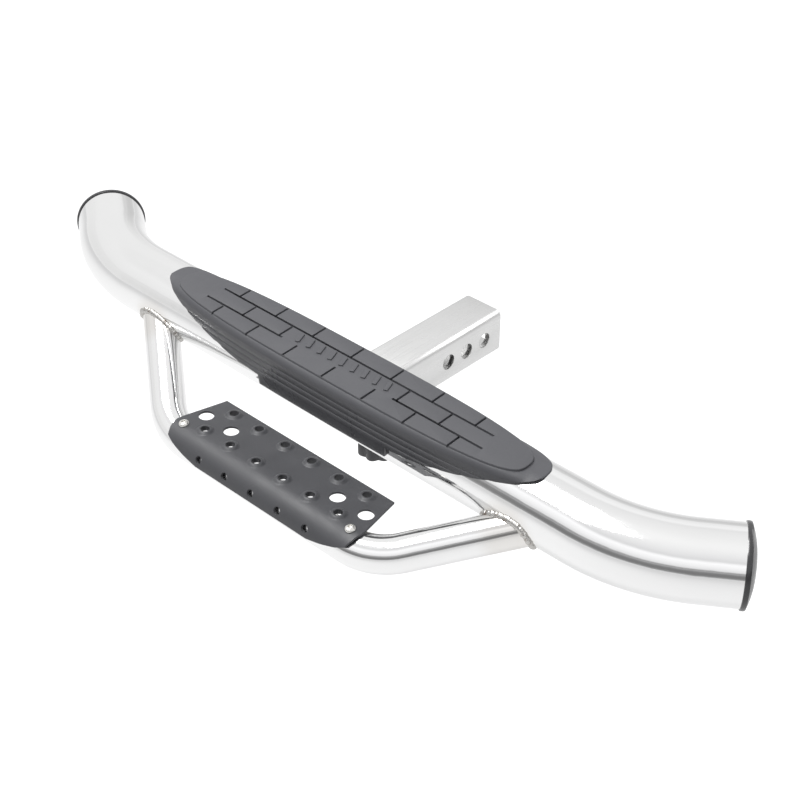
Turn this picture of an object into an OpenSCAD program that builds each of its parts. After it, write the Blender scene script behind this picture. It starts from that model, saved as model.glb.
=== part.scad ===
// Hitch receiver step: a bent 3 inch tube on a 2 inch square shank, with a smaller
// drop step tube in front, a punched step plate on it and a moulded tread pad on top.
// +X runs along the step, +Y points to the vehicle and +Z is up.
// The origin is the centre of the middle pin hole, on the axis of the shank.

/* [Main tube] */
// Outside diameter of the main tube
tube_d = 76.2; // [60:0.1:90]
// Wall of the main tube
tube_wall = 2; // [1.5:0.1:4]
// Half of the straight length between the two bends
tube_half = 303; // [280:1:400]
// Radius of each bend, at the middle of the tube
tube_bend_r = 178; // [150:1:260]
// Angle of each bend
tube_bend = 34.5; // [20:0.5:45]
// Straight length after each bend
tube_tail = 39; // [25:1:120]
// Height of the main tube's axis over the shank's axis
tube_rise = 19; // [12:0.5:30]
// Distance from the middle pin hole to the main tube's axis
reach = 158; // [140:1:260]

/* [Shank] */
// Width and height of the square shank
shank_w = 50.8; // [45:0.1:64]
// Wall of the shank
shank_wall = 6.35; // [4:0.05:8]
// Radius of the shank's outer corners
shank_corner = 7; // [6.9:0.1:10]
// Diameter of the pin holes
pin_hole_d = 17; // [13:0.1:20]
// Distance from one pin hole to the next
pin_pitch = 28; // [24:0.5:40]
// Length of shank behind the middle pin hole
shank_tail = 54; // [50:1:120]
// Length of shank floor that reaches in under the main tube, short of its axis
shank_cope = 12; // [8:1:20]

/* [Step tube] */
// Outside diameter of the step tube
step_d = 38.1; // [32:0.1:45]
// Wall of the step tube
step_wall = 2; // [1.5:0.1:4]
// Distance from the main tube's axis forward to the front bar's axis
step_out = 107; // [100:1:140]
// Distance from the main tube's axis down to the front bar's axis
step_drop = 68; // [60:1:90]
// Half of the straight part of the front bar
bar_half = 112.8; // [112:0.1:125]
// Distance from the main tube's bend in to the point on its axis that an arm aims at
foot_inset = 17; // [13:1:33]
// Radius of each bend in the step tube, at the middle of the tube
step_bend_r = 84; // [70:1:90]

/* [Welds] */
// Height of a weld bead, measured out from the main tube
bead_h = 4.5; // [3:0.1:6]
// Width of a weld bead, measured out from the piece that is welded on
bead_w = 4.5; // [3:0.1:6]

/* [Step plate] */
// Thickness of the plate's sheet
plate_t = 2.5; // [2:0.1:4]
// Half of the plate's length along its back edge
plate_back_half = 120; // [115:1:128]
// Half of the plate's length at its widest, over the front bar
plate_front_half = 131.5; // [129:0.5:136]
// Depth of the flat top behind the front bar's axis
plate_depth = 56; // [52:1:64]
// How far the flat top drops towards its back edge, in degrees
plate_fall = 2; // [0:0.5:4]
// Angle of the lip's lower edge above the front bar's axis
lip_angle = 2; // [0:1:10]
// Half of the straight part of the lip's lower edge
lip_half = 76; // [60:1:90]
// Depth of the lip's slanted corners, from its lower edge up to the plate's ends
lip_corner = 17; // [12:1:20]
// Spacing of the grip holes along a row
grip_pitch = 38.1; // [34:0.1:40]
// Number of raised grip holes in a row
grip_count = 6; // [4:1:6]
// Diameter of a raised grip hole
grip_hole_d = 8; // [5:0.5:10]
// Diameter of a raised dimple at its foot
dimple_d = 20; // [16:0.5:24]
// Height of a raised dimple
dimple_h = 1.8; // [1:0.1:3]
// Place of the front row behind the front bar's axis
front_row = 5; // [4:0.5:8]
// Place of the back row behind the front bar's axis
back_row = 44; // [40:0.5:46]
// Place of the large drain holes behind the front bar's axis
drain_row = 23; // [21:0.5:26]
// Diameter of a large drain hole
drain_d = 16; // [12:0.5:18]
// Diameter of a hole in the front lip
lip_hole_d = 8; // [5:0.5:10]
// Angle of the lip holes above the front bar's axis
lip_hole_angle = 25; // [20:1:30]

/* [Plate fasteners] */
// Distance of each plate screw from the middle
screw_x = 119; // [112:0.5:122]
// Angle by which the screws lean forward
screw_lean = 5; // [0:1:8]
// Thread diameter of a plate screw
screw_d = 6; // [5:0.5:8]
// Diameter of a screw's button head
screw_head_d = 11; // [9:0.5:14]
// Height of a screw's button head
screw_head_h = 3.3; // [2.5:0.1:4.5]
// Length of a screw under its head
screw_len = 16; // [14:1:22]
// Outside diameter of a threaded insert
insert_d = 9; // [8.5:0.5:12]
// Length of a threaded insert
insert_len = 13; // [10:1:18]
// Diameter of the insert's upset collar, inside the tube
collar_d = 12; // [11:0.5:15]
// Diameter of the insert's flange, which carries the plate
flange_d = 14; // [12:0.5:18]
// Thickness of the insert's flange
flange_t = 1.5; // [1.4:0.1:2.5]

/* [End caps] */
// How far a cap's rim stands out beyond the tube's skin
cap_rim = 1.3; // [0.5:0.1:3]
// Thickness of a cap's rim
cap_rim_t = 5; // [3:0.5:8]
// Height of a cap's dome over its rim
cap_dome = 6.5; // [3:0.5:12]
// Wall of a cap
cap_wall = 2.5; // [2:0.1:4]
// Length of the cap's skirt inside the tube
cap_skirt = 20; // [12:1:24]
// Height of the grip rings around the skirt
cap_ring = 0.6; // [0.3:0.1:0.8]

/* [Tread pad] */
// Place of the pad's middle along the tube
pad_x = 12; // [-20:1:20]
// Half of the pad's length
pad_half = 255; // [220:1:262]
// Distance from each end of the pad in to the tread
tread_inset = 17; // [14:1:30]
// Thickness of the pad over the top of the tube, up to the tread
pad_t = 4.2; // [3.5:0.1:8]
// How far the pad reaches behind the tube's axis
pad_back = 23; // [20:0.5:27]
// How far the tread reaches in front of the tube's axis
pad_front = 38.5; // [34:0.5:40]
// Forward slope of the tread, in degrees
pad_slope = 3.15; // [0:0.05:5]
// Depth of the moulding behind the tread, down to its back skirt
back_skirt = 10.5; // [9.5:0.1:12]
// Height at which the back skirt ends, above the tube's axis
back_low = 24; // [20:0.5:26]
// Height of the upright part of the back skirt
back_wall = 9; // [6:0.5:10]
// How square the pad's back corners are in plan, where 2 is an ellipse
back_square = 3.3; // [2.5:0.1:4]
// How square the pad's front corners are in plan, where 2 is an ellipse
front_square = 2.7; // [2:0.1:3]
// How square the tread's front corners are in plan, where 2 is an ellipse
tread_square = 3.4; // [2.5:0.1:4]
// Height of the tread over the rim around it
tread_h = 1.4; // [0.8:0.1:2.5]
// Thickness of the front skirt
skirt_t = 5.5; // [4:0.1:8]
// Spacing of the ribs along the front skirt
rib_pitch = 7; // [6.5:0.1:7.5]
// Depth of the grooves between those ribs
rib_deep = 0.8; // [0.4:0.1:1.2]
// Half of the length of the low flap in the middle of the skirt
flap_half = 88; // [60:1:120]
// How far the skirt reaches down, above the tube's axis
skirt_low = 1.5; // [0:0.5:8]
// How far the low flap reaches down, below the tube's axis
flap_low = 9.5; // [4:0.5:14]
// How much the skirt's lower edge rises from the flap to the pad's ends
skirt_rise = 36.5; // [34:0.5:38]
// How sharply that edge turns up, where 1 is a straight line
skirt_curve = 1.6; // [1.2:0.1:2.5]
// Width of a tread groove
groove_w = 1.8; // [1:0.1:3]
// Depth of a tread groove
groove_t = 1.3; // [0.6:0.1:2]
// Spacing of the cross grooves
brick = 54; // [48:1:64]
// Spacing of the two long grooves
course = 20.5; // [18:0.5:22]
// Distance from each end of the tread in to the long back groove
groove_inset = 50; // [46:1:60]
// Distance from each end of the tread in to the front grooves
front_inset = 46; // [42:1:56]
// Half of the length of the plain field in the middle course
badge_half = 76; // [60:1:90]
// Number of raised bars on the plain field
bar_count = 9; // [5:1:11]
// Length of a raised bar
bar_len = 13; // [10:0.5:14]
// Width of a raised bar
bar_w = 3.6; // [2.5:0.1:5]
// Angle by which the bars slant
bar_slant = 20; // [0:1:30]

/* [Pad clips] */
// Distance from each end of the pad in to the nearest of the four clips
clip_inset = 54; // [48:1:70]
// Diameter of a clip's stem
clip_d = 8; // [6:0.5:10]
// Diameter of a clip's head, which sits in a pocket under the pad
clip_head_d = 14; // [12:0.5:18]
// Thickness of a clip's head
clip_head_t = 1.6; // [1.2:0.1:2]

/* [Tightener] */
// Distance from the main tube's axis back to the tightener's stud
stud_back = 50; // [46:1:56]
// Diameter of the stud
stud_d = 12; // [8:0.5:14]
// Diameter of the stud's nose, which turns in the foot
nose_d = 8; // [5:0.5:10]
// Width of the nut across its flats
nut_flats = 19; // [17:0.5:24]
// Height of the nut
nut_h = 10.8; // [8:0.1:14]
// Height of the knob's lower face under the shank's axis
knob_low = 84; // [78:1:95]
// Radius of the knob over its lobes
knob_r = 22.5; // [20:0.5:28]
// Thickness of the knob's lobed part
knob_t = 17; // [12:0.5:20]
// Number of lobes around the knob
lobes = 8; // [5:1:10]
// Height of the knob's hub over its lobes
hub_h = 7; // [4:0.5:12]
// Diameter of the knob's hub
hub_d = 20; // [17:0.5:26]
// Diameter of the foot
foot_d = 22; // [16:0.5:28]
// Thickness of the foot
foot_t = 11; // [8:0.5:12]
// Height of the foot's upper face over the shank's axis
foot_top = 0; // [-2:0.5:2]

/* [Hidden] */
$fn = 96;
// Clearance between curved faces that seat on each other
seat = 0.05;
// Clearance under soft mouldings
soft_gap = 0.3;
// Radial clearance where one piece turns in another
run_gap = 0.05;
// How far a cutting shape runs past what it cuts
past = 1;
// A straight tail starts this far inside its bend, and is slimmer by a hair so that the two
// skins don't lie in each other
tail_lap = 1;
tail_hair = 0.12;
// Solid plastic under the stud's end, and solid steel over its nose
knob_floor = 4;
foot_roof = 2.5;

tube_r = tube_d / 2;
step_r = step_d / 2;
tube_y = -reach;
bar_y = tube_y - step_out;
bar_z = tube_rise - step_drop;
stud_y = tube_y + stud_back;
shank_front = tube_y + shank_cope;

// The step tube lies in one plane, which leans up from the front bar to the main tube.
// Each arm turns by the bend that takes it from the end of the front bar to its point there.
arm_lean = atan2(step_drop, step_out);
arm_depth = norm([step_out, step_drop]);
step_foot = tube_half - foot_inset;
arm_out = step_foot - bar_half;
arm_root = sqrt(arm_out * arm_out - arm_depth * (2 * step_bend_r - arm_depth));
arm_bend = 2 * atan(arm_depth / (arm_out + arm_root));
arm_tangent = step_bend_r * tan(arm_bend / 2);
arm_len = norm([arm_out - arm_tangent, arm_depth]) - arm_tangent;

// The plate's sheet wraps the front bar between these radii, and rests on the inserts' flanges
roll_in = step_r + flange_t;
roll_out = roll_in + plate_t;
// How far the plate's ends turn in towards the lip, and how far the lip's corners are eased
end_turn = 8;
lip_ease = 2;

// Heights in the pad's own frame, whose origin is on the main tube's axis
pad_in = tube_r + soft_gap;
tread_top = tube_r + pad_t;
skirt_y = -(tube_r + skirt_t);
pad_mid = -8.5;
tread_half = pad_half - tread_inset;
clip_xs = [for (k = [-1:2 / 3:1]) k * (pad_half - clip_inset)];

// Cylinder along X, centred on its middle
module x_rod(r, len) {
    rotate([0, 90, 0]) cylinder(h = len, r = r, center = true);
}

// Bar along X with a bend and a straight tail at each end, which turn towards +Y
module bent_run(r, half, bend_r, bend, tail) {
    x_rod(r, 2 * half);
    for (s = [0, 1])
        mirror([s, 0, 0])
            translate([half, bend_r, 0])
                rotate([0, 0, -90]) {
                    rotate_extrude(angle = bend) translate([bend_r, 0]) circle(r);
                    rotate([0, 0, bend])
                        translate([bend_r, -tail_lap, 0])
                            rotate([-90, 0, 0])
                                cylinder(h = tail_lap + tail, r = r - tail_hair);
                }
}

// Moves its children to the main tube's axis
module at_tube() {
    translate([0, tube_y, tube_rise]) children();
}

// Moves its children to the front bar's axis
module at_bar() {
    translate([0, bar_y, bar_z]) children();
}

// Moves its children to the mouth of one end of the main tube, with +Z pointing out of it
module at_mouth(side) {
    at_tube()
        mirror([side < 0 ? 1 : 0, 0, 0])
            translate([tube_half, tube_bend_r, 0])
                rotate([0, 0, tube_bend - 90])
                    translate([tube_bend_r, tube_tail, 0])
                        rotate([-90, 0, 0])
                            children();
}

// Solid of the step tube at a given radius, in the leaning plane
module step_run(r) {
    at_bar()
        rotate([arm_lean, 0, 0])
            bent_run(r, bar_half, step_bend_r, arm_bend, arm_len);
}

// Square with round corners
module round_square(w, r) {
    square([w - 2 * r, w], center = true);
    square([w, w - 2 * r], center = true);
    for (sx = [-1, 1], sy = [-1, 1])
        translate([sx * (w / 2 - r), sy * (w / 2 - r)]) circle(r);
}

// Square bar with round corners that runs from y = front to y = back
module y_bar(w, r, front, back) {
    translate([0, back, 0])
        rotate([90, 0, 0])
            linear_extrude(back - front) round_square(w, r);
}

module main_tube() {
    color("gainsboro")
        difference() {
            at_tube() bent_run(tube_r, tube_half, tube_bend_r, tube_bend, tube_tail);
            at_tube()
                bent_run(tube_r - tube_wall, tube_half, tube_bend_r, tube_bend, tube_tail + past);
            for (x = clip_xs)
                translate([pad_x + x, tube_y, tube_rise])
                    cylinder(h = tube_r + past, d = clip_d + 2 * soft_gap);
        }
}

module receiver_shank() {
    inner_corner = shank_corner - shank_wall;
    color("silver")
        difference() {
            y_bar(shank_w, shank_corner, shank_front, shank_tail);
            y_bar(shank_w - 2 * shank_wall, inner_corner, shank_front - past, shank_tail + past);
            at_tube() x_rod(tube_r + seat, 2 * shank_w);
            for (k = [-1:1])
                translate([0, k * pin_pitch, 0]) x_rod(pin_hole_d / 2, shank_w + 2 * past);
            translate([0, stud_y, -shank_w / 2 - past])
                cylinder(h = shank_wall + 2 * past, d = stud_d + 2);
        }
}

module step_tube() {
    color("gainsboro")
        difference() {
            step_run(step_r);
            step_run(step_r - step_wall);
            at_tube() x_rod(tube_r + seat, 2 * (step_foot + tube_d));
            for (side = [-1, 1]) at_screw(side) cylinder(h = step_r + past, d = insert_d + 2 * seat);
        }
}

// Layer around the main tube in which the weld beads lie
module bead_layer() {
    at_tube()
        difference() {
            x_rod(tube_r + bead_h, 2 * tube_half);
            x_rod(tube_r + seat, 2 * tube_half + past);
        }
}

// Bead around the end of one arm of the step tube
module arm_weld(side) {
    color("darkgray")
        intersection() {
            bead_layer();
            difference() {
                step_run(step_r + bead_w);
                step_run(step_r + seat);
            }
            translate([side > 0 ? 0 : -tube_half, bar_y, bar_z])
                cube([tube_half, step_out, step_drop + tube_r]);
        }
}

// Bead over the top and down both sides of the shank
module weld_shank() {
    color("darkgray")
        intersection() {
            bead_layer();
            difference() {
                y_bar(shank_w + 2 * bead_w, shank_corner + bead_w, shank_front, stud_y);
                y_bar(shank_w + 2 * seat, shank_corner + seat, shank_front - past, stud_y + past);
            }
        }
}

// Plan of one half of the plate's flat top, behind the front bar
function plate_half_plan() = [
    [0, plate_depth],
    [plate_back_half, plate_depth],
    [plate_front_half - end_turn / 8, end_turn],
    [plate_front_half, 0],
    [plate_front_half - end_turn / 4, -roll_out / 2],
    [plate_front_half - end_turn, -roll_out - past],
    [0, -roll_out - past]
];

// Front view of one half of the plate, with the slanted corner of its lip
function lip_half_view() = [
    [0, roll_out + dimple_h + past],
    [plate_front_half + past, roll_out + dimple_h + past],
    [plate_front_half + past, lip_corner + lip_ease],
    [plate_front_half - 2 * lip_ease, lip_corner - lip_ease],
    [lip_half + 4 * lip_ease, lip_ease],
    [lip_half, 0],
    [lip_half, -past],
    [0, -past]
];

// Both halves of a plan, given one half of it
module both_halves(points) {
    polygon(points);
    mirror([1, 0]) polygon(points);
}

// The sheet before it is trimmed: a flat top, and a lip that rolls down around the bar
module plate_sheet() {
    rotate([90, 0, 90])
        rotate([0, 0, 90 - plate_fall]) {
            translate([roll_in, -plate_depth - past, -plate_front_half])
                cube([plate_t, plate_depth + past, 2 * plate_front_half]);
            rotate_extrude(angle = 90 + plate_fall - lip_angle)
                translate([roll_in, -plate_front_half])
                    square([plate_t, 2 * plate_front_half]);
        }
}

// Places its children at every raised grip hole, on the tilted top
module at_grips() {
    for (y = [front_row, back_row], k = [0:grip_count - 1])
        rotate([-plate_fall, 0, 0])
            translate([(k - (grip_count - 1) / 2) * grip_pitch, y, 0])
                children();
}

// Places its children at every large drain hole
module at_drains() {
    for (x = [-3, -2, 2, 3])
        rotate([-plate_fall, 0, 0]) translate([x * grip_pitch, drain_row, 0]) children();
}

// Places its children along a plate screw, with +Z out of the bar's axis
module at_screw(side) {
    translate([side * screw_x, bar_y, bar_z]) rotate([screw_lean, 0, 0]) children();
}

module step_plate() {
    slope_d = grip_hole_d + 3;
    sheet_in = 2;
    screw_play = 0.6;
    color("dimgray")
        difference() {
            at_bar()
                difference() {
                    union() {
                        intersection() {
                            plate_sheet();
                            translate([0, 0, -roll_out])
                                linear_extrude(3 * roll_out) both_halves(plate_half_plan());
                            translate([0, 3 * roll_out + plate_depth, 0])
                                rotate([90, 0, 0])
                                    linear_extrude(2 * (3 * roll_out + plate_depth))
                                        both_halves(lip_half_view());
                        }
                        at_grips()
                            translate([0, 0, roll_out - seat])
                                cylinder(h = dimple_h, d1 = dimple_d, d2 = slope_d);
                    }
                    at_grips() {
                        translate([0, 0, roll_in - past]) cylinder(h = 3 * roll_in, d = grip_hole_d);
                        translate([0, 0, roll_in - seat])
                            cylinder(h = dimple_h, d1 = dimple_d - sheet_in, d2 = slope_d - sheet_in);
                    }
                    at_drains() translate([0, 0, roll_in - past]) cylinder(h = roll_in, d = drain_d);
                    for (k = [-2:2])
                        translate([k * grip_pitch, 0, 0])
                            rotate([90 - lip_hole_angle, 0, 0])
                                cylinder(h = 2 * roll_out, d = lip_hole_d);
                }
            for (side = [-1, 1]) at_screw(side) cylinder(h = 2 * roll_out, d = screw_d + screw_play);
        }
}

module plate_screw(side) {
    head_z = roll_out + seat;
    socket_d = 0.65 * screw_d;
    top_r = socket_d / 2 + seat;
    color("whitesmoke")
        at_screw(side)
            difference() {
                union() {
                    translate([0, 0, head_z - screw_len]) cylinder(h = screw_len + seat, d = screw_d);
                    translate([0, 0, head_z])
                        rotate_extrude()
                            polygon(concat([[0, 0]], [
                                for (a = [0:15:90])
                                    [screw_head_d / 2 * cos(a) + top_r * (1 - cos(a)), screw_head_h * sin(a)]
                            ], [[0, screw_head_h]]));
                }
                translate([0, 0, head_z + screw_head_h / 2])
                    cylinder(h = screw_head_h, d = socket_d, $fn = 6);
            }
}

// Flange of an insert: a disc that follows the roundness of the bar
module insert_flange(side) {
    difference() {
        at_screw(side)
            intersection() {
                cylinder(h = 2 * step_r, d = flange_d);
                x_rod(roll_in - seat, 2 * flange_d);
            }
        step_run(step_r + seat);
    }
}

module insert(side) {
    collar_t = 2.2;
    collar_z = step_r - step_wall - 1.8 - collar_t;
    color("goldenrod")
        difference() {
            union() {
                at_screw(side) {
                    translate([0, 0, step_r + flange_t / 2 - insert_len])
                        cylinder(h = insert_len, d = insert_d);
                    translate([0, 0, collar_z]) cylinder(h = collar_t, d = collar_d);
                }
                insert_flange(side);
            }
            at_screw(side) cylinder(h = 4 * step_r, d = screw_d + 2 * seat, center = true);
        }
}

module end_cap(side) {
    bore_r = tube_r - tube_wall;
    skirt_r = bore_r - cap_ring - 0.2;
    rim_r = tube_r + cap_rim;
    edge = 0.8;
    ring_w = 2.5;
    dome_steps = 8;
    color("#2b2b2d")
        at_mouth(side)
            rotate_extrude()
                polygon(concat(
                    [[skirt_r - cap_wall, -cap_skirt], [skirt_r, -cap_skirt]],
                    [for (k = [0:2], p = [[0, 0], [cap_ring, ring_w / 2], [0, ring_w]])
                        [skirt_r + p[0], -cap_skirt + ring_w + k * (cap_skirt - 2 * ring_w) / 3 + p[1]]],
                    [[skirt_r, seat], [rim_r - edge, seat], [rim_r, edge], [rim_r, cap_rim_t - 2 * edge]],
                    [for (k = [0:dome_steps])
                        [(rim_r - edge) * cos(90 * k / dome_steps),
                         cap_rim_t + cap_dome * sin(90 * k / dome_steps)]],
                    [[0, cap_rim_t], [skirt_r - cap_wall, cap_rim_t - 2]]
                ));
}

// Oval in plan about the pad's middle line: half length, then depth and squareness of each side
function oval(half, back, back_n, front, front_n) = [
    for (a = [0:5:355])
        let (
            s = sin(a),
            c = cos(a),
            n = s >= 0 ? back_n : front_n,
            deep = s >= 0 ? back : -front
        )
        [half * sign(c) * pow(abs(c), 2 / n), pad_mid + deep * pow(abs(s), 2 / n)]
];

// Height of the tread's plane at a place across the tube, less the given depth
function tread_z(y, deep) = tread_top + (y + pad_mid) * tan(pad_slope) - deep;

// Outline of the pad's cross section: back skirt, rim and ribbed front skirt
function pad_section() = concat(
    [
        [0, back_low], [pad_back + back_skirt, back_low],
        [pad_back + 0.8 * back_skirt, back_low + back_wall],
        [pad_back + 0.4 * back_skirt, tread_z(pad_back, 2.5 * tread_h)],
        [pad_back, tread_z(pad_back, tread_h)],
        [-pad_front, tread_z(-pad_front, tread_h)],
        [-pad_front - 3, tread_z(-pad_front, 3 * tread_h)]
    ],
    [for (k = [4:-1:1], p = [[0, 0], [0, -0.65], [rib_deep, -0.7], [rib_deep, -0.92]])
        [skirt_y + p[0], skirt_low + (k + p[1]) * rib_pitch]],
    [[skirt_y + rib_deep, skirt_low], [skirt_y + 2 * rib_deep, -flap_low], [0, -flap_low]]
);

// Lower edge of the skirt at a place along the pad
function skirt_edge(x) =
    let (part = (x - flap_half) / (pad_half - flap_half))
    part < 0 ? -flap_low : skirt_low + skirt_rise * pow(part, skirt_curve);

// Front view of one half of the pad
function pad_view() = concat(
    [[0, 2 * tube_r], [0, -flap_low], [flap_half, -flap_low]],
    [for (k = [0:12]) let (x = flap_half + (pad_half - flap_half) * k / 12) [x, skirt_edge(x)]],
    [[pad_half + past, 2 * tube_r]]
);

// Extrudes a cross section along the pad
module along_pad() {
    rotate([90, 0, 90]) linear_extrude(2 * pad_half + 2 * past, center = true) children();
}

module pad_body() {
    intersection() {
        along_pad() polygon(pad_section());
        linear_extrude(4 * tube_r, center = true)
            polygon(oval(pad_half, pad_back + back_skirt + 0.5 - pad_mid, back_square,
                         past - skirt_y + pad_mid, front_square));
        rotate([90, 0, 0]) linear_extrude(4 * tube_r, center = true) both_halves(pad_view());
    }
}

// Raised tread in the middle of the pad
module pad_tread() {
    intersection() {
        linear_extrude(2 * tube_r)
            polygon(oval(tread_half, pad_back - pad_mid, back_square,
                         pad_front + pad_mid - seat, tread_square));
        along_pad()
            polygon([
                [-pad_front - past, 0], [pad_back + past, 0],
                [pad_back + past, tread_z(pad_back + past, 0)],
                [-pad_front - past, tread_z(-pad_front - past, 0)]
            ]);
    }
}

// Groove along X or Y, cut into the tread from above
module groove(x, y, length, width) {
    translate([x - length / 2, y - width / 2, tread_z(y, groove_t)])
        rotate([pad_slope, 0, 0])
            cube([length, width, 4 * groove_t]);
}

// Brick pattern of the tread, with a plain field in the middle course
module tread_grooves() {
    back_line = -pad_front + 2 * course;
    front_line = -pad_front + course;
    end_field = tread_half - badge_half - front_inset;
    groove(0, back_line, 2 * (tread_half - groove_inset), groove_w);
    for (s = [-1, 1])
        groove(s * (badge_half + end_field / 2), front_line, end_field, groove_w);
    for (k = [-3:3]) {
        groove(k * brick, (back_line + pad_back) / 2, groove_w, pad_back - back_line);
        groove(k * brick, (front_line - pad_front) / 2 + 0.5, groove_w, course - 1);
    }
    for (k = [-2.5, -1.5, 1.5, 2.5])
        groove(k * brick, (front_line + back_line) / 2, groove_w, course);
}

// Slanted grip bars that stand on the plain field
module grip_bars() {
    sunk = 0.2;
    bar = [bar_w, bar_len, sunk + 1];
    for (k = [0:bar_count - 1])
        translate([
            (k - (bar_count - 1) / 2) * 2 * badge_half / (bar_count + 1),
            -pad_front + 1.5 * course - bar[1] / 2,
            tread_z(-pad_front + course, sunk)
        ])
            rotate([pad_slope, 0, bar_slant])
                cube(bar);
}

module tread_pad() {
    pocket_h = tube_r + clip_head_t + 2 * soft_gap;
    color("#46474b")
        translate([pad_x, tube_y, tube_rise])
            difference() {
                union() {
                    pad_body();
                    pad_tread();
                    grip_bars();
                }
                x_rod(pad_in, 3 * pad_half);
                tread_grooves();
                for (x = clip_xs)
                    translate([x, 0, 0]) cylinder(h = pocket_h, d = clip_head_d + 1);
            }
}

// Push-in clip number k: a head under the pad, a stem through the tube and a barb below
module pad_clip(k) {
    barb_h = 5;
    under = 1;
    color("#1d1d1f")
        translate([pad_x + clip_xs[k - 1], tube_y, tube_rise + tube_r]) {
            translate([0, 0, seat]) cylinder(h = clip_head_t, d = clip_head_d);
            translate([0, 0, -tube_wall - under]) cylinder(h = tube_wall + 2 * under, d = clip_d);
            translate([0, 0, -tube_wall - under - barb_h])
                cylinder(h = barb_h, d1 = clip_d - 3, d2 = clip_d + 2);
        }
}

module tightener_nut() {
    color("silver")
        translate([0, stud_y, -shank_w / 2 - nut_h])
            difference() {
                cylinder(h = nut_h, d = nut_flats / cos(30), $fn = 6);
                translate([0, 0, -past]) cylinder(h = nut_h + 2 * past, d = stud_d + 2 * run_gap);
            }
}

module tightener_stud() {
    stud_low = -knob_low + knob_floor;
    nose_h = foot_t - foot_roof - 0.5;
    stud_top = foot_top - foot_t - run_gap;
    color("silver")
        translate([0, stud_y, stud_low]) {
            cylinder(h = stud_top - stud_low, d = stud_d);
            cylinder(h = stud_top - stud_low + nose_h, d = nose_d);
        }
}

module tightener_knob() {
    lobe_r = 0.92 * knob_r * sin(180 / lobes);
    flare = 5;
    lobe_at = knob_r - lobe_r;
    color("#232325")
        translate([0, stud_y, -knob_low])
            difference() {
                union() {
                    cylinder(h = knob_t, r = lobe_at + lobe_r / 4);
                    for (k = [0:lobes - 1])
                        rotate([0, 0, (k + 0.5) * 360 / lobes])
                            translate([lobe_at, 0, 0])
                                cylinder(h = knob_t, r = lobe_r);
                    translate([0, 0, knob_t - seat])
                        cylinder(h = hub_h + seat, d1 = hub_d + flare, d2 = hub_d);
                }
                translate([0, 0, knob_floor - seat]) cylinder(h = knob_t + hub_h, d = stud_d + 2 * seat);
            }
}

module tightener_foot() {
    neck_h = 4;
    neck_in = 3;
    color("dimgray")
        translate([0, stud_y, foot_top - foot_t])
            difference() {
                union() {
                    cylinder(h = neck_h, d = foot_d - 2 * neck_in);
                    translate([0, 0, neck_h - seat]) cylinder(h = foot_t - neck_h + seat, d = foot_d);
                }
                translate([0, 0, -past]) cylinder(h = foot_t - foot_roof + past, d = nose_d + 2 * run_gap);
            }
}

main_tube();
receiver_shank();
step_tube();
arm_weld(-1);  // weld_left
arm_weld(1);  // weld_right
weld_shank();
step_plate();
plate_screw(-1);  // plate_screw_left
plate_screw(1);  // plate_screw_right
insert(-1);  // insert_left
insert(1);  // insert_right
end_cap(-1);  // end_cap_left
end_cap(1);  // end_cap_right
tread_pad();
pad_clip(1);  // pad_clip_1
pad_clip(2);  // pad_clip_2
pad_clip(3);  // pad_clip_3
pad_clip(4);  // pad_clip_4
tightener_nut();
tightener_stud();
tightener_knob();
tightener_foot();
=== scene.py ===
import math

import bpy
from mathutils import Matrix, Vector


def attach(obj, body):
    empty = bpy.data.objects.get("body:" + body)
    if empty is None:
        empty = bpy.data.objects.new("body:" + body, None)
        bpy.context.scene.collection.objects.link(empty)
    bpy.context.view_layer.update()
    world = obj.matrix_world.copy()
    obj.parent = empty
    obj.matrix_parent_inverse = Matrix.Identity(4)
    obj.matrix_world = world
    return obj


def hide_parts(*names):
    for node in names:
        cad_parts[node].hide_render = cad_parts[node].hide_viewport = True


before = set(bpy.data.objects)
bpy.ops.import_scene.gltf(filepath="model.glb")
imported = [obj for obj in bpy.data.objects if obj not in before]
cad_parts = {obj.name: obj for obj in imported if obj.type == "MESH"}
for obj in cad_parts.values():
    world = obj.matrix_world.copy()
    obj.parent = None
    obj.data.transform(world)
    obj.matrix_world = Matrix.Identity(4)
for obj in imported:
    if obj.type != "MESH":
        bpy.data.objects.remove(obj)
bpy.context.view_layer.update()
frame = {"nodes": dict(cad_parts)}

bl_info = {
    "name": "Hitch receiver step",
    "version": (1, 0, 0),
    "blender": (4, 5, 0),
    "location": "View3D > Sidebar > Hitch step",
    "description": "Models and finishes the visible pieces of a hitch receiver step",
    "category": "Object",
}

SMALL = 1e-6


# Settings

def length(name, default, description):
    return bpy.props.FloatProperty(
        name=name, default=default, description=description,
        precision=5, subtype="DISTANCE", unit="LENGTH",
    )


def angle(name, default, description):
    return bpy.props.FloatProperty(
        name=name, default=math.radians(default), description=description,
        subtype="ANGLE", unit="ROTATION",
    )


def colour(name, default, description):
    return bpy.props.FloatVectorProperty(
        name=name, default=default, description=description,
        size=3, min=0, max=1, subtype="COLOR",
    )


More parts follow.
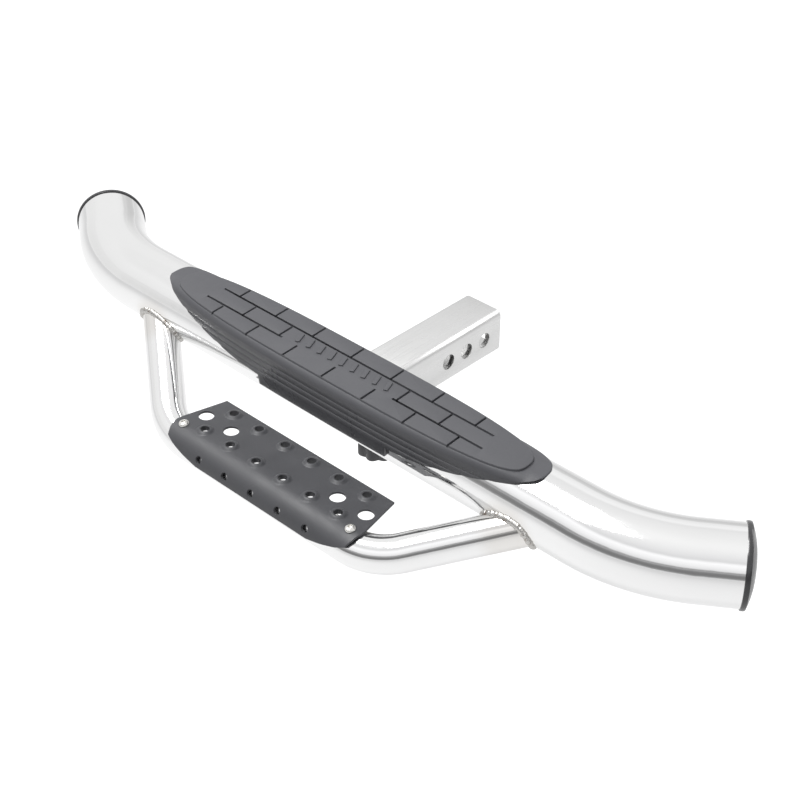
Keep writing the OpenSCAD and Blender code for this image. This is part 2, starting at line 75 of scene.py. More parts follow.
class TubeSizes(bpy.types.PropertyGroup):
    tube_d: length("Main tube", 0.0762, "Outside diameter of the main tube")
    tube_wall: length("Tube wall", 0.002, "Wall of both tubes")
    tube_half: length("Straight half", 0.303, "Half of the main tube's straight length")
    tube_bend_r: length("Bend radius", 0.178, "Radius of the main tube's bends")
    tube_bend: angle("Bend angle", 34.5, "Angle of the main tube's bends")
    tube_tail: length("Tail", 0.039, "Straight length after each bend of the main tube")
    tube_rise: length("Rise", 0.019, "Height of the main tube over the shank's axis")
    reach: length("Reach", 0.158, "Distance from the middle pin hole to the main tube's axis")
    step_d: length("Step tube", 0.0381, "Outside diameter of the step tube")
    step_out: length("Step reach", 0.107, "Distance forward from the main tube to the front bar")
    step_drop: length("Step drop", 0.068, "Distance down from the main tube to the front bar")
    step_corner: length("Step corner", 0.145, "Place where front bar and arm would cross")
    step_foot: length("Arm foot", 0.286, "Place on the main tube that an arm aims at")
    step_bend_r: length("Step bend", 0.084, "Radius of the step tube's bends")
    shank_w: length("Shank width", 0.0508, "Width and height of the shank")
    shank_wall: length("Shank wall", 0.00635, "Wall of the shank")
    shank_corner: length("Shank corner", 0.007, "Radius of the shank's corners")
    pin_hole_d: length("Pin hole", 0.017, "Diameter of the pin holes")
    pin_pitch: length("Pin pitch", 0.028, "Spacing of the pin holes")
    shank_tail: length("Shank end", 0.054, "Length of shank behind the middle pin hole")
    shank_cope: length("Shank cope", 0.012, "Length of shank floor under the main tube")
    bead: length("Weld bead", 0.0066, "Width of a weld bead")


class PlateSizes(bpy.types.PropertyGroup):
    plate_t: length("Sheet", 0.0025, "Thickness of the plate's sheet")
    flange_t: length("Insert flange", 0.0015, "Height of the flanges that carry the plate")
    back_half: length("Back half length", 0.120, "Half length along the back edge")
    front_half: length("Front half length", 0.1315, "Half length over the front bar")
    depth: length("Depth", 0.056, "Depth of the flat top behind the front bar")
    fall: angle("Fall", 2, "How far the flat top drops to the back")
    roll: angle("Roll", 90, "How far the lip rolls down around the bar")
    lip_half: length("Lip half length", 0.076, "Half of the lip's straight edge")
    grip_pitch: length("Grip pitch", 0.0381, "Spacing of the raised holes")
    grip_hole_d: length("Grip hole", 0.0094, "Diameter of a raised hole")
    dimple_d: length("Dimple", 0.020, "Diameter of a dimple at its foot")
    dimple_h: length("Dimple height", 0.0022, "Height of a dimple")
    front_row: length("Front row", 0.005, "Place of the front row of dimples")
    back_row: length("Back row", 0.044, "Place of the back row of dimples")
    front_collar: length("Front collar", 0.0036, "Depth of a drawn collar in the front row")
    back_collar: length("Back collar", 0.0056, "Depth of a drawn collar in the back row")
    drain_row: length("Drain row", 0.023, "Place of the drain holes")
    drain_d: length("Drain hole", 0.016, "Diameter of a drain hole")
    lip_hole_d: length("Lip hole", 0.008, "Diameter of a hole in the lip")
    lip_hole_angle: angle("Lip hole angle", 25, "Angle of the lip holes above the bar's axis")
    screw_x: length("Screw place", 0.119, "Distance of each screw from the middle")
    screw_lean: angle("Screw lean", 5, "How far the screws lean forward")
    screw_d: length("Screw thread", 0.006, "Thread diameter of a plate screw")
    head_d: length("Screw head", 0.011, "Diameter of a button head")
    head_h: length("Head height", 0.0033, "Height of a button head")
    screw_len: length("Screw length", 0.016, "Length of a screw under its head")


class PadSizes(bpy.types.PropertyGroup):
    pad_x: length("Pad place", 0.0098, "Place of the pad's middle along the tube")
    pad_half: length("Half length", 0.2541, "Half of the pad's length")
    tread_half: length("Tread half", 0.235, "Half of the tread's length")
    pad_t: length("Thickness", 0.0042, "Thickness of the pad over the tube")
    gap: length("Gap", 0.0003, "Space between pad and tube")
    back: length("Tread back", 0.023, "Reach of the tread behind the tube's axis")
    front: length("Tread front", 0.0385, "Reach of the tread in front of the tube's axis")
    slope: angle("Slope", 3.15, "Forward slope of the tread")
    skirt_t: length("Skirt", 0.0055, "Thickness of the front skirt")
    flap_half: length("Flap half", 0.088, "Half length of the low flap")
    skirt_low: length("Skirt edge", 0.0015, "Lower edge of the skirt, over the tube's axis")
    flap_low: length("Flap edge", 0.0095, "Lower edge of the flap, under the tube's axis")
    skirt_rise: length("Skirt rise", 0.0365, "Rise of the skirt's edge from the flap to the tips")
    groove_w: length("Groove width", 0.0024, "Width of a tread groove")
    groove_t: length("Groove depth", 0.0030, "Depth of a tread groove")
    brick: length("Brick", 0.054, "Spacing of the cross grooves")
    course: length("Course", 0.0205, "Spacing of the two long grooves")
    badge_half: length("Plain field", 0.076, "Half length of the plain field")
    bar_count: bpy.props.IntProperty(
        name="Bars", default=9, min=1, max=15, description="Raised bars on the plain field")


class TightenerSizes(bpy.types.PropertyGroup):
    stud_back: length("Stud place", 0.050, "Distance from the main tube's axis back to the stud")
    stud_d: length("Stud", 0.012, "Diameter of the stud")
    nose_d: length("Nose", 0.008, "Diameter of the stud's nose")
    thread_pitch: length("Thread pitch", 0.00175, "Rise of the thread in one turn")
    nut_flats: length("Nut", 0.019, "Width of the nut across its flats")
    nut_h: length("Nut height", 0.0108, "Height of the nut")
    knob_low: length("Knob place", 0.084, "Knob's lower face under the shank's axis")
    knob_r: length("Knob radius", 0.0225, "Radius of the knob over its lobes")
    knob_t: length("Knob thickness", 0.017, "Thickness of the lobed part")
    lobes: bpy.props.IntProperty(
        name="Lobes", default=8, min=3, max=12, description="Number of lobes around the knob")
    hub_h: length("Hub height", 0.007, "Height of the hub over the lobes")
    hub_d: length("Hub", 0.020, "Diameter of the hub")
    foot_t: length("Foot", 0.011, "Thickness of the swivel foot")


class CapSizes(bpy.types.PropertyGroup):
    rim: length("Rim", 0.0013, "How far the rim stands out beyond the tube")
    rim_t: length("Rim thickness", 0.005, "Thickness of the rim")
    dome: length("Dome", 0.0065, "Height of the dome over the rim")
    skirt: length("Skirt", 0.020, "Length of the skirt inside the tube")


class Finishes(bpy.types.PropertyGroup):
    chrome: colour("Polished tube", (0.87, 0.87, 0.868), "Tone of the polished steel")
    satin: colour("Satin steel", (0.72, 0.72, 0.715), "Tone of the shank")
    weld: colour("Weld", (0.54, 0.53, 0.51), "Tone of the weld beads")
    coat: colour("Plate coat", (0.066, 0.067, 0.073), "Tone of the plate's coat")
    rubber: colour("Pad rubber", (0.088, 0.089, 0.097), "Tone of the moulded pad")
    plastic: colour("Plastic", (0.024, 0.024, 0.027), "Tone of the caps, knob and clips")
    zinc: colour("Fasteners", (0.78, 0.77, 0.74), "Tone of the plated fasteners")


# Modelling by hand

def deselect_all():
    if bpy.context.object is not None and bpy.context.object.mode != "OBJECT":
        bpy.ops.object.mode_set(mode="OBJECT")
    bpy.ops.object.select_all(action="DESELECT")


def work_on(obj):
    deselect_all()
    obj.select_set(True)
    bpy.context.view_layer.objects.active = obj


def fix_place(obj):
    work_on(obj)
    bpy.ops.object.transform_apply(location=True, rotation=True, scale=True)


def named(name):
    obj = bpy.context.object
    obj.name = name
    obj.data.name = name
    return obj


def circle(name, radius, count, place=(0, 0, 0), turn=(0, 0, 0)):
    deselect_all()
    bpy.ops.mesh.primitive_circle_add(vertices=count, radius=radius, location=place, rotation=turn)
    obj = named(name)
    fix_place(obj)
    return obj


def rod(name, radius, depth, count, place=(0, 0, 0), turn=(0, 0, 0)):
    deselect_all()
    bpy.ops.mesh.primitive_cylinder_add(
        vertices=count, radius=radius, depth=depth, location=place, rotation=turn)
    obj = named(name)
    fix_place(obj)
    return obj


def block(name, size, place=(0, 0, 0), turn=(0, 0, 0)):
    deselect_all()
    bpy.ops.mesh.primitive_cube_add(size=1, location=place, rotation=turn)
    obj = named(name)
    obj.scale = size
    fix_place(obj)
    return obj


def edit_all(obj, kind="VERT"):
    work_on(obj)
    bpy.ops.object.mode_set(mode="EDIT")
    bpy.ops.mesh.select_mode(type=kind)
    bpy.ops.mesh.select_all(action="SELECT")


def leave():
    bpy.ops.object.mode_set(mode="OBJECT")


def put(obj, spots):
    """Moves the selected vertices, in their order, to the given spots."""
    leave()
    chosen = [v for v in obj.data.vertices if v.select]
    for v, spot in zip(chosen, spots):
        v.co = spot
    bpy.ops.object.mode_set(mode="EDIT")


def loft(name, loops, closed=True):
    """Extrudes a face, or an open ring, from loop to loop. All loops have as many spots."""
    obj = circle(name, 0.01, len(loops[0]))
    edit_all(obj)
    put(obj, loops[0])
    if closed:
        bpy.ops.mesh.edge_face_add()
        bpy.ops.mesh.select_all(action="SELECT")
    for spots in loops[1:]:
        if closed:
            bpy.ops.mesh.extrude_region_move()
        else:
            bpy.ops.mesh.extrude_edges_move()
        put(obj, spots)
    leave()
    return obj


def turned(radius, z, count, start=0.0):
    return [
        Vector((radius * math.cos(start + 2 * math.pi * k / count),
                radius * math.sin(start + 2 * math.pi * k / count), z))
        for k in range(count)
    ]


def lathe(name, profile, count=96):
    """A turned piece about Z. The profile runs from the lower pole's side to the upper one."""
    obj = loft(name, [turned(r, z, count) for r, z in profile])
    make_outward(obj)
    return obj


def volume(obj):
    obj.data.calc_loop_triangles()
    spots = [v.co for v in obj.data.vertices]
    total = 0.0
    for face in obj.data.loop_triangles:
        a, b, c = (spots[k] for k in face.vertices)
        total += a.dot(b.cross(c)) / 6
    return total


def make_outward(obj, closed=True):
    edit_all(obj)
    bpy.ops.mesh.remove_doubles(threshold=SMALL)
    bpy.ops.mesh.normals_make_consistent(inside=False)
    leave()
    if closed and volume(obj) < 0:
        obj.data.flip_normals()


def use(obj, kind, **values):
    work_on(obj)
    mod = obj.modifiers.new(kind.title(), kind)
    for key, value in values.items():
        setattr(mod, key, value)
    bpy.ops.object.modifier_apply(modifier=mod.name)
    return obj


def combine(obj, tool, how="DIFFERENCE"):
    use(obj, "BOOLEAN", operation=how, object=tool, solver="EXACT")
    bpy.data.objects.remove(tool)
    return obj


def join(first, others):
    work_on(first)
    for obj in others:
        obj.select_set(True)
    bpy.ops.object.join()
    return first


def copy_of(obj, name, matrix):
    twin = obj.copy()
    twin.data = obj.data.copy()
    twin.name = name
    twin.data.name = name
    bpy.context.scene.collection.objects.link(twin)
    twin.data.transform(matrix)
    if matrix.determinant() < 0:
        twin.data.flip_normals()
    return twin


def soften(obj, width, segments=2, above=50):
    return use(
        obj, "BEVEL", width=width, segments=segments, limit_method="ANGLE",
        angle_limit=math.radians(above), use_clamp_overlap=False, harden_normals=False)


def shade(obj, above=35):
    work_on(obj)
    bpy.ops.object.shade_smooth_by_angle(angle=math.radians(above))


def finish_piece(obj, material, slot, body, *nodes):
    obj.data.materials.clear()
    obj.data.materials.append(material)
    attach(obj, body)
    if nodes:
        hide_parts(*nodes)


def blend_value(points, at):
    """Straight lines between (place, value) points."""
    for (a, va), (b, vb) in zip(points, points[1:]):
        if at <= b:
            return va + (vb - va) * max(0, min(1, (at - a) / (b - a)))
    return points[-1][1]


def even_places(spots, count):
    """Even places along a line of spots: each is a stretch of it and the share that lies behind."""
    lengths = [0.0]
    for a, b in zip(spots, spots[1:]):
        lengths.append(lengths[-1] + (b - a).length)
    k = 0
    for n in range(count):
        want = lengths[-1] * n / count
        while lengths[k + 1] < want:
            k += 1
        yield k, (want - lengths[k]) / max(lengths[k + 1] - lengths[k], 1e-12)


# Finishes

def set_input(tree, socket, value):
    """Gives a socket a value, or links another node's output to it."""
    if isinstance(value, bpy.types.NodeSocket):
        tree.links.new(value, socket)
    elif socket.type == "RGBA":
        socket.default_value = (*value, 1)
    else:
        socket.default_value = value


def add_node(tree, kind, inputs=None, **options):
    node = tree.nodes.new("ShaderNode" + kind)
    for key, value in options.items():
        setattr(node, key, value)
    for key, value in (inputs or {}).items():
        set_input(tree, node.inputs[key], value)
    return node


def calculate(tree, how, *values):
    return add_node(tree, "Math", dict(enumerate(values)), operation=how).outputs[0]


def mix_colours(tree, factor, *tones):
    node = add_node(tree, "Mix", {"Factor": factor}, data_type="RGBA")
    for socket, tone in zip([s for s in node.inputs if s.type == "RGBA"], tones):
        set_input(tree, socket, tone)
    return next(s for s in node.outputs if s.type == "RGBA")


def smooth_step(tree, value, low, high, out_low=0.0, out_high=1.0):
    inputs = {"Value": value, "From Min": low, "From Max": high, "To Min": out_low, "To Max": out_high}
    return add_node(tree, "MapRange", inputs, interpolation_type="SMOOTHSTEP").outputs["Result"]


def new_group(name, inputs, outputs):
    tree = bpy.data.node_groups.new(name, "ShaderNodeTree")
    for label, kind, default in inputs:
        socket = tree.interface.new_socket(name=label, in_out="INPUT", socket_type=kind)
        if default is not None:
            socket.default_value = default
    for label, kind in outputs:
        tree.interface.new_socket(name=label, in_out="OUTPUT", socket_type=kind)
    return tree, tree.nodes.new("NodeGroupInput"), tree.nodes.new("NodeGroupOutput")


def grain_group():
    """Fine even grain: a height for bump and a tint that wanders around 1."""
    if "Moulded grain" in bpy.data.node_groups:
        return bpy.data.node_groups["Moulded grain"]
    tree, start, end = new_group(
        "Moulded grain",
        [("Vector", "NodeSocketVector", None), ("Scale", "NodeSocketFloat", 900.0),
         ("Cloud scale", "NodeSocketFloat", 30.0), ("Tint", "NodeSocketFloat", 0.1)],
        [("Height", "NodeSocketFloat"), ("Tint", "NodeSocketFloat"), ("Cloud", "NodeSocketFloat")])
    given = start.outputs
    fine = add_node(tree, "TexNoise", {
        "Vector": given["Vector"], "Scale": given["Scale"], "Detail": 3})
    cloud = add_node(tree, "TexNoise", {
        "Vector": given["Vector"], "Scale": given["Cloud scale"], "Detail": 4, "Roughness": 0.6})
    centred = calculate(tree, "SUBTRACT", cloud.outputs["Fac"], 0.5)
    wander = calculate(tree, "MULTIPLY_ADD", centred, given["Tint"], 1)
    set_input(tree, end.inputs["Height"], fine.outputs["Fac"])
    set_input(tree, end.inputs["Tint"], wander)
    set_input(tree, end.inputs["Cloud"], cloud.outputs["Fac"])
    return tree


def lines_group():
    """Fine drawn lines: noise that is stretched along one direction."""
    if "Drawn lines" in bpy.data.node_groups:
        return bpy.data.node_groups["Drawn lines"]
    tree, start, end = new_group(
        "Drawn lines",
        [("Vector", "NodeSocketVector", None), ("Stretch", "NodeSocketVector", (1, 1, 1)),
         ("Low", "NodeSocketFloat", 0.1), ("High", "NodeSocketFloat", 0.2)],
        [("Height", "NodeSocketFloat"), ("Value", "NodeSocketFloat")])
    given = start.outputs
    mapping = add_node(tree, "Mapping", {"Vector": given["Vector"], "Scale": given["Stretch"]})
    noise = add_node(tree, "TexNoise", {
        "Vector": mapping.outputs["Vector"], "Scale": 1, "Detail": 5, "Roughness": 0.65})
    spread = add_node(tree, "MapRange", {
        "Value": noise.outputs["Fac"], "From Min": 0.3, "From Max": 0.7,
        "To Min": given["Low"], "To Max": given["High"]})
    set_input(tree, end.inputs["Height"], noise.outputs["Fac"])
    set_input(tree, end.inputs["Value"], spread.outputs["Result"])
    return tree


class Finish:
    """A material in the making: a Principled shader with Object coordinates at hand."""

    def __init__(self, name, metallic, roughness):
        self.material = bpy.data.materials.new(name)
        self.material.use_nodes = True
        self.tree = self.material.node_tree
        self.shader = self.tree.nodes["Principled BSDF"]
        self.place = add_node(self.tree, "TexCoord").outputs["Object"]
        self.feed("Metallic", metallic)
        self.feed("Roughness", roughness)

    def feed(self, socket, value):
        set_input(self.tree, self.shader.inputs[socket], value)

    def group(self, tree, **values):
        inputs = {key.replace("_", " "): value for key, value in values.items()}
        inputs["Vector"] = self.place
        return add_node(self.tree, "Group", inputs, node_tree=tree)

    def tint(self, tone, factor):
        return add_node(
            self.tree, "VectorMath", {0: tone, "Scale": factor}, operation="SCALE").outputs[0]

    def mix(self, factor, first, second):
        return mix_colours(self.tree, factor, first, second)

    def fade(self, value, low, high, out_low=0.0, out_high=1.0):
        return smooth_step(self.tree, value, low, high, out_low, out_high)

    def math(self, how, first, second):
        return calculate(self.tree, how, first, second)

    def height(self):
        return add_node(self.tree, "SeparateXYZ", {0: self.place}).outputs["Z"]

    def far_from(self, spot):
        inputs = {0: self.place, 1: spot}
        return add_node(self.tree, "VectorMath", inputs, operation="DISTANCE").outputs["Value"]

    def bump(self, height, strength, distance):
        """Adds a bump over the ones that are there."""
        inputs = {"Strength": strength, "Distance": distance, "Height": height}
        node = add_node(self.tree, "Bump", inputs)
        normal = self.shader.inputs["Normal"]
        if normal.is_linked:
            set_input(self.tree, node.inputs["Normal"], normal.links[0].from_socket)
        self.feed("Normal", node.outputs["Normal"])


def polished_tube():
    tone = bpy.context.scene.step_finishes.chrome
    fin = Finish("Polished tube", 1, 0.05)
    lines = fin.group(lines_group(), Stretch=(30, 700, 700), Low=0.055, High=0.12)
    grain = fin.group(grain_group(), Scale=70, Cloud_scale=9, Tint=0.05)
    base = fin.tint(tone, grain.outputs["Tint"])
    tubes = bpy.context.scene.step_tubes
    spots = [seam_middle(tubes, side) for side in (-1, 1)]
    near = fin.math("MINIMUM", fin.far_from(spots[0]), fin.far_from(spots[1]))
    straw = fin.math("MULTIPLY", fin.fade(near, 0.022, 0.040, 0.6, 0), grain.outputs["Cloud"])
    fin.feed("Base Color", fin.mix(straw, base, (0.60, 0.55, 0.48)))
    fin.feed("Roughness", lines.outputs["Value"])
    fin.bump(grain.outputs["Cloud"], 0.25, 0.002)
    fin.bump(lines.outputs["Height"], 0.012, 0.0002)
    return fin.material


def satin_steel():
    fin = Finish("Satin steel", 1, 0.3)
    lines = fin.group(lines_group(), Stretch=(1400, 18, 1400), Low=0.24, High=0.38)
    grain = fin.group(grain_group(), Scale=400, Cloud_scale=24, Tint=0.14)
    fin.feed("Base Color", fin.tint(bpy.context.scene.step_finishes.satin, grain.outputs["Tint"]))
    fin.feed("Roughness", lines.outputs["Value"])
    fin.bump(lines.outputs["Height"], 0.12, 0.0004)
    return fin.material


def weld_metal():
    fin = Finish("Weld metal", 1, 0.25)
    grain = fin.group(grain_group(), Scale=900, Cloud_scale=160, Tint=0.5)
    base = fin.tint(bpy.context.scene.step_finishes.weld, grain.outputs["Tint"])
    stain = fin.fade(grain.outputs["Cloud"], 0.52, 0.68)
    fin.feed("Base Color", fin.mix(stain, base, (0.24, 0.20, 0.17)))
    fin.feed("Roughness", fin.fade(grain.outputs["Height"], 0.3, 0.7, 0.16, 0.36))
    fin.bump(grain.outputs["Height"], 0.25, 0.0004)
    return fin.material


def plate_coat():
    fin = Finish("Plate coat", 0, 0.46)
    grain = fin.group(grain_group(), Scale=1500, Cloud_scale=45, Tint=0.16)
    fin.feed("Base Color", fin.tint(bpy.context.scene.step_finishes.coat, grain.outputs["Tint"]))
    fin.feed("Roughness", fin.fade(grain.outputs["Cloud"], 0.3, 0.7, 0.42, 0.52))
    fin.bump(grain.outputs["Height"], 0.35, 0.0003)
    fin.feed("Specular IOR Level", 0.55)
    return fin.material


def pad_rubber():
    """Matt on the tread and smoother down the skirt, whose colour carries painted shade."""
    tone = bpy.context.scene.step_finishes.rubber
    fin = Finish("Pad rubber", 0, 0.55)
    grain = fin.group(grain_group(), Scale=1100, Cloud_scale=38, Tint=0.14)
    # mask of the skirt below the tread: it makes the rubber smoother there and also carries the painted
    # shade
    skirt = fin.fade(fin.height(), 0.049, 0.0555, 1, 0)
    matt = fin.fade(grain.outputs["Cloud"], 0.3, 0.7, 0.5, 0.64)
    smooth = fin.fade(skirt, 0, 1, 0, -0.24)
    # painted shade: the skirt's colour is darkened to 0.8 of the tread's, standing in for the shade on the
    # lower face
    low = fin.tint([0.8 * part for part in tone], grain.outputs["Tint"])
    fin.feed("Base Color", fin.mix(skirt, fin.tint(tone, grain.outputs["Tint"]), low))
    fin.feed("Roughness", fin.math("ADD", matt, smooth))
    fin.bump(grain.outputs["Height"], 0.3, 0.0003)
    return fin.material


def black_plastic(name, roughness):
    fin = Finish(name, 0, roughness)
    fin.feed("Specular IOR Level", 0.75)
    grain = fin.group(grain_group(), Scale=1300, Cloud_scale=60, Tint=0.2)
    fin.feed("Base Color", fin.tint(bpy.context.scene.step_finishes.plastic, grain.outputs["Tint"]))
    low, high = roughness - 0.05, roughness + 0.07
    fin.feed("Roughness", fin.fade(grain.outputs["Cloud"], 0.3, 0.7, low, high))
    fin.bump(grain.outputs["Height"], 0.25, 0.0002)
    return fin.material


def plated_steel(name, tone, roughness):
    fin = Finish(name, 1, roughness)
    grain = fin.group(grain_group(), Scale=900, Cloud_scale=180, Tint=0.16)
    fin.feed("Base Color", fin.tint(tone, grain.outputs["Tint"]))
    low, high = roughness - 0.06, roughness + 0.08
    fin.feed("Roughness", fin.fade(grain.outputs["Cloud"], 0.3, 0.7, low, high))
    fin.bump(grain.outputs["Height"], 0.12, 0.0002)
    return fin.material


def material(name, maker, *values):
    if name in bpy.data.materials:
        return bpy.data.materials[name]
    return maker(*values)


def chrome_finish():
    return material("Polished tube", polished_tube)


def zinc_finish():
    tone = bpy.context.scene.step_finishes.zinc
    return material("Plated fastener", plated_steel, "Plated fastener", tone, 0.2)


def plastic_finish(name, roughness):
    return material(name, black_plastic, name, roughness)


# Places on the step

def bar_place(tubes):
    """The front bar's axis, as y and z."""
    return -tubes.reach - tubes.step_out, tubes.tube_rise - tubes.step_drop


def step_angles(tubes):
    """Lean of the step tube's plane, angle of its bends, half of its straight front, length of an arm."""
    lean = math.atan2(tubes.step_drop, tubes.step_out)
    deep = math.hypot(tubes.step_out, tubes.step_drop)
    run = tubes.step_foot - tubes.step_corner
    bend = math.atan2(deep, run)
    tangent = tubes.step_bend_r * math.tan(bend / 2)
    return lean, bend, tubes.step_corner - tangent, math.hypot(run, deep) - tangent


def arm_line(tubes, side):
    """Start and direction of an arm's axis."""
    lean, bend, half, _ = step_angles(tubes)
    bar_y, bar_z = bar_place(tubes)
    along = half + tubes.step_bend_r * math.sin(bend)
    across = tubes.step_bend_r * (1 - math.cos(bend))
    start = Vector((side * along, bar_y + across * math.cos(lean), bar_z + across * math.sin(lean)))
    way = Vector((
        side * math.cos(bend), math.sin(bend) * math.cos(lean), math.sin(bend) * math.sin(lean)))
    return start, way


def arm_seam(tubes, side, turn):
    """A point of the seam between an arm and the main tube, and the normals of both there."""
    start, way = arm_line(tubes, side)
    across = way.orthogonal().normalized()
    other = way.cross(across)
    out = math.cos(turn) * across + math.sin(turn) * other
    spot = start + out * (tubes.step_d / 2)
    y, z = spot.y + tubes.reach, spot.z - tubes.tube_rise
    radius = tubes.tube_d / 2
    a = way.y ** 2 + way.z ** 2
    b = 2 * (y * way.y + z * way.z)
    c = y ** 2 + z ** 2 - radius ** 2
    go = (-b - math.sqrt(b * b - 4 * a * c)) / (2 * a)
    seam = spot + go * way
    skin = Vector((0, seam.y + tubes.reach, seam.z - tubes.tube_rise)).normalized()
    return seam, skin, out


def seam_middle(tubes, side):
    spots = [arm_seam(tubes, side, k * math.pi / 4)[0] for k in range(8)]
    return sum(spots, Vector()) / 8


# Tubes and shank

def pipe(name, radius, half, bend_r, bend, tail, wall):
    """A bent pipe along X, whose ends turn to +Y."""
    obj = circle(name, radius, 128, turn=(0, math.pi / 2, 0))
    edit_all(obj, "EDGE")
    bpy.ops.mesh.extrude_edges_move(TRANSFORM_OT_translate={"value": (half, 0, 0)})
    bpy.ops.mesh.spin(steps=48, angle=bend, center=(half, bend_r, 0), axis=(0, 0, -1))
    bpy.ops.mesh.extrude_edges_move(
        TRANSFORM_OT_translate={"value": (tail * math.cos(bend), tail * math.sin(bend), 0)})
    leave()
    if max(v.co.x for v in obj.data.vertices) < half + tail * math.cos(bend):
        raise RuntimeError(f"{name} bends the wrong way")
    use(obj, "MIRROR", use_axis=(True, False, False), merge_threshold=1e-5)
    make_outward(obj, closed=False)
    use(obj, "SOLIDIFY", thickness=wall, offset=-1, use_even_offset=True)
    return obj


def tube_cutter(tubes, extra=0.00005):
    return rod(
        "tube_cutter", tubes.tube_d / 2 + extra, 2 * tubes.tube_half, 256,
        (0, -tubes.reach, tubes.tube_rise), (0, math.pi / 2, 0))


class STEP_OT_main_tube(bpy.types.Operator):
    """Model the bent and polished main tube"""
    bl_idname = "hitch_step.main_tube"
    bl_label = "Main tube"

    def execute(self, context):
        tubes = context.scene.step_tubes
        obj = pipe("main_tube_skin", tubes.tube_d / 2, tubes.tube_half, tubes.tube_bend_r,
                   tubes.tube_bend, tubes.tube_tail, tubes.tube_wall)
        obj.location = (0, -tubes.reach, tubes.tube_rise)
        fix_place(obj)
        shade(obj)
        finish_piece(obj, chrome_finish(), "polished_tube", "step", "main_tube")
        return {"FINISHED"}


class STEP_OT_step_tube(bpy.types.Operator):
    """Model the bent step tube, with its arms cut to fit the main tube"""
    bl_idname = "hitch_step.step_tube"
    bl_label = "Step tube"

    def execute(self, context):
        tubes = context.scene.step_tubes
        lean, bend, half, arm = step_angles(tubes)
        bar_y, bar_z = bar_place(tubes)
        obj = pipe("step_tube_skin", tubes.step_d / 2, half, tubes.step_bend_r,
                   bend, arm, tubes.tube_wall)
        obj.rotation_euler = (lean, 0, 0)
        obj.location = (0, bar_y, bar_z)
        fix_place(obj)
        combine(obj, tube_cutter(tubes))
        shade(obj)
        finish_piece(obj, chrome_finish(), "polished_tube", "step", "step_tube")
        return {"FINISHED"}


def square_loop(width, corner, y, steps=10):
    """A rounded square across Y."""
    spots = []
    reach = width / 2 - corner
    for quarter in range(4):
        middle = math.pi / 4 + quarter * math.pi / 2
        cx = reach * math.copysign(1, math.cos(middle))
        cz = reach * math.copysign(1, math.sin(middle))
        for k in range(steps + 1):
            turn = quarter * math.pi / 2 + k * math.pi / 2 / steps
            spots.append(Vector((cx + corner * math.cos(turn), y, cz + corner * math.sin(turn))))
    return spots


class STEP_OT_shank(bpy.types.Operator):
    """Model the square shank with its pin holes"""
    bl_idname = "hitch_step.shank"
    bl_label = "Shank"

    def execute(self, context):
        tubes, tight = context.scene.step_tubes, context.scene.step_tightener
        front = -tubes.reach + tubes.shank_cope
        ends = [square_loop(tubes.shank_w, tubes.shank_corner, y) for y in (front, tubes.shank_tail)]
        obj = loft("receiver_shank_skin", ends, closed=False)
        make_outward(obj, closed=False)
        use(obj, "SOLIDIFY", thickness=tubes.shank_wall, offset=-1, use_even_offset=True)
        combine(obj, tube_cutter(tubes))
        for k in (-1, 0, 1):
            hole = rod("hole", tubes.pin_hole_d / 2, 2 * tubes.shank_w, 72,
                       (0, k * tubes.pin_pitch, 0), (0, math.pi / 2, 0))
            combine(obj, hole)
        stud_y = -tubes.reach + tight.stud_back
        combine(obj, rod("hole", tight.stud_d / 2 + 0.001, tubes.shank_w, 72,
                         (0, stud_y, -tubes.shank_w / 2)))
        soften(obj, 0.0005, 2, 40)
        shade(obj, 30)
        fin = material("Satin steel", satin_steel)
        finish_piece(obj, fin, "satin_steel", "step", "receiver_shank")
        return {"FINISHED"}


# Welds

PUDDLE_SHAPE = (0.42, 1, 0.72)
WELD_LIFT = 0.0010


def bead_row(name, stations, width):
    """A row of overlapping weld puddles along stations of (spot, out, along)."""
    deselect_all()
    bpy.ops.mesh.primitive_uv_sphere_add(segments=20, ring_count=12, radius=width / 2)
    puddle = named("puddle")
    bpy.ops.object.mode_set(mode="EDIT")
    bpy.ops.mesh.select_all(action="SELECT")
    bpy.ops.transform.resize(value=PUDDLE_SHAPE)
    leave()
    copies = []
    for k, (spot, out, along) in enumerate(stations):
        across = out.cross(along).normalized()
        up = along.cross(across).normalized()
        lean = (up + 0.5 * along).normalized()
        fore = across.cross(lean).normalized()
        swell = 1 + 0.10 * math.sin(2.4 * k) + 0.07 * math.sin(5.1 * k + 1)
        turn = Matrix((fore, across, lean)).transposed().to_4x4()
        shape = Matrix.Translation(spot) @ turn @ Matrix.Scale(swell, 4)
        copies.append(copy_of(puddle, f"puddle_{k}", shape))
    bpy.data.objects.remove(puddle)
    obj = join(copies[0], copies[1:])
    obj.name = name
    obj.data.name = name
    use(obj, "REMESH", mode="VOXEL", voxel_size=0.00045)
    use(obj, "SMOOTH", factor=0.5, iterations=2)
    work_on(obj)
    bpy.ops.object.shade_smooth()
    return obj


def stations_on(seam, count):
    """Even stations on a closed or open seam, which is a list of (spot, out)."""
    result = []
    for k, part in even_places([spot for spot, _ in seam], count):
        (spot, out), (far_spot, far_out) = seam[k], seam[k + 1]
        along = (far_spot - spot).normalized()
        result.append((spot.lerp(far_spot, part), out.lerp(far_out, part).normalized(), along))
    return result


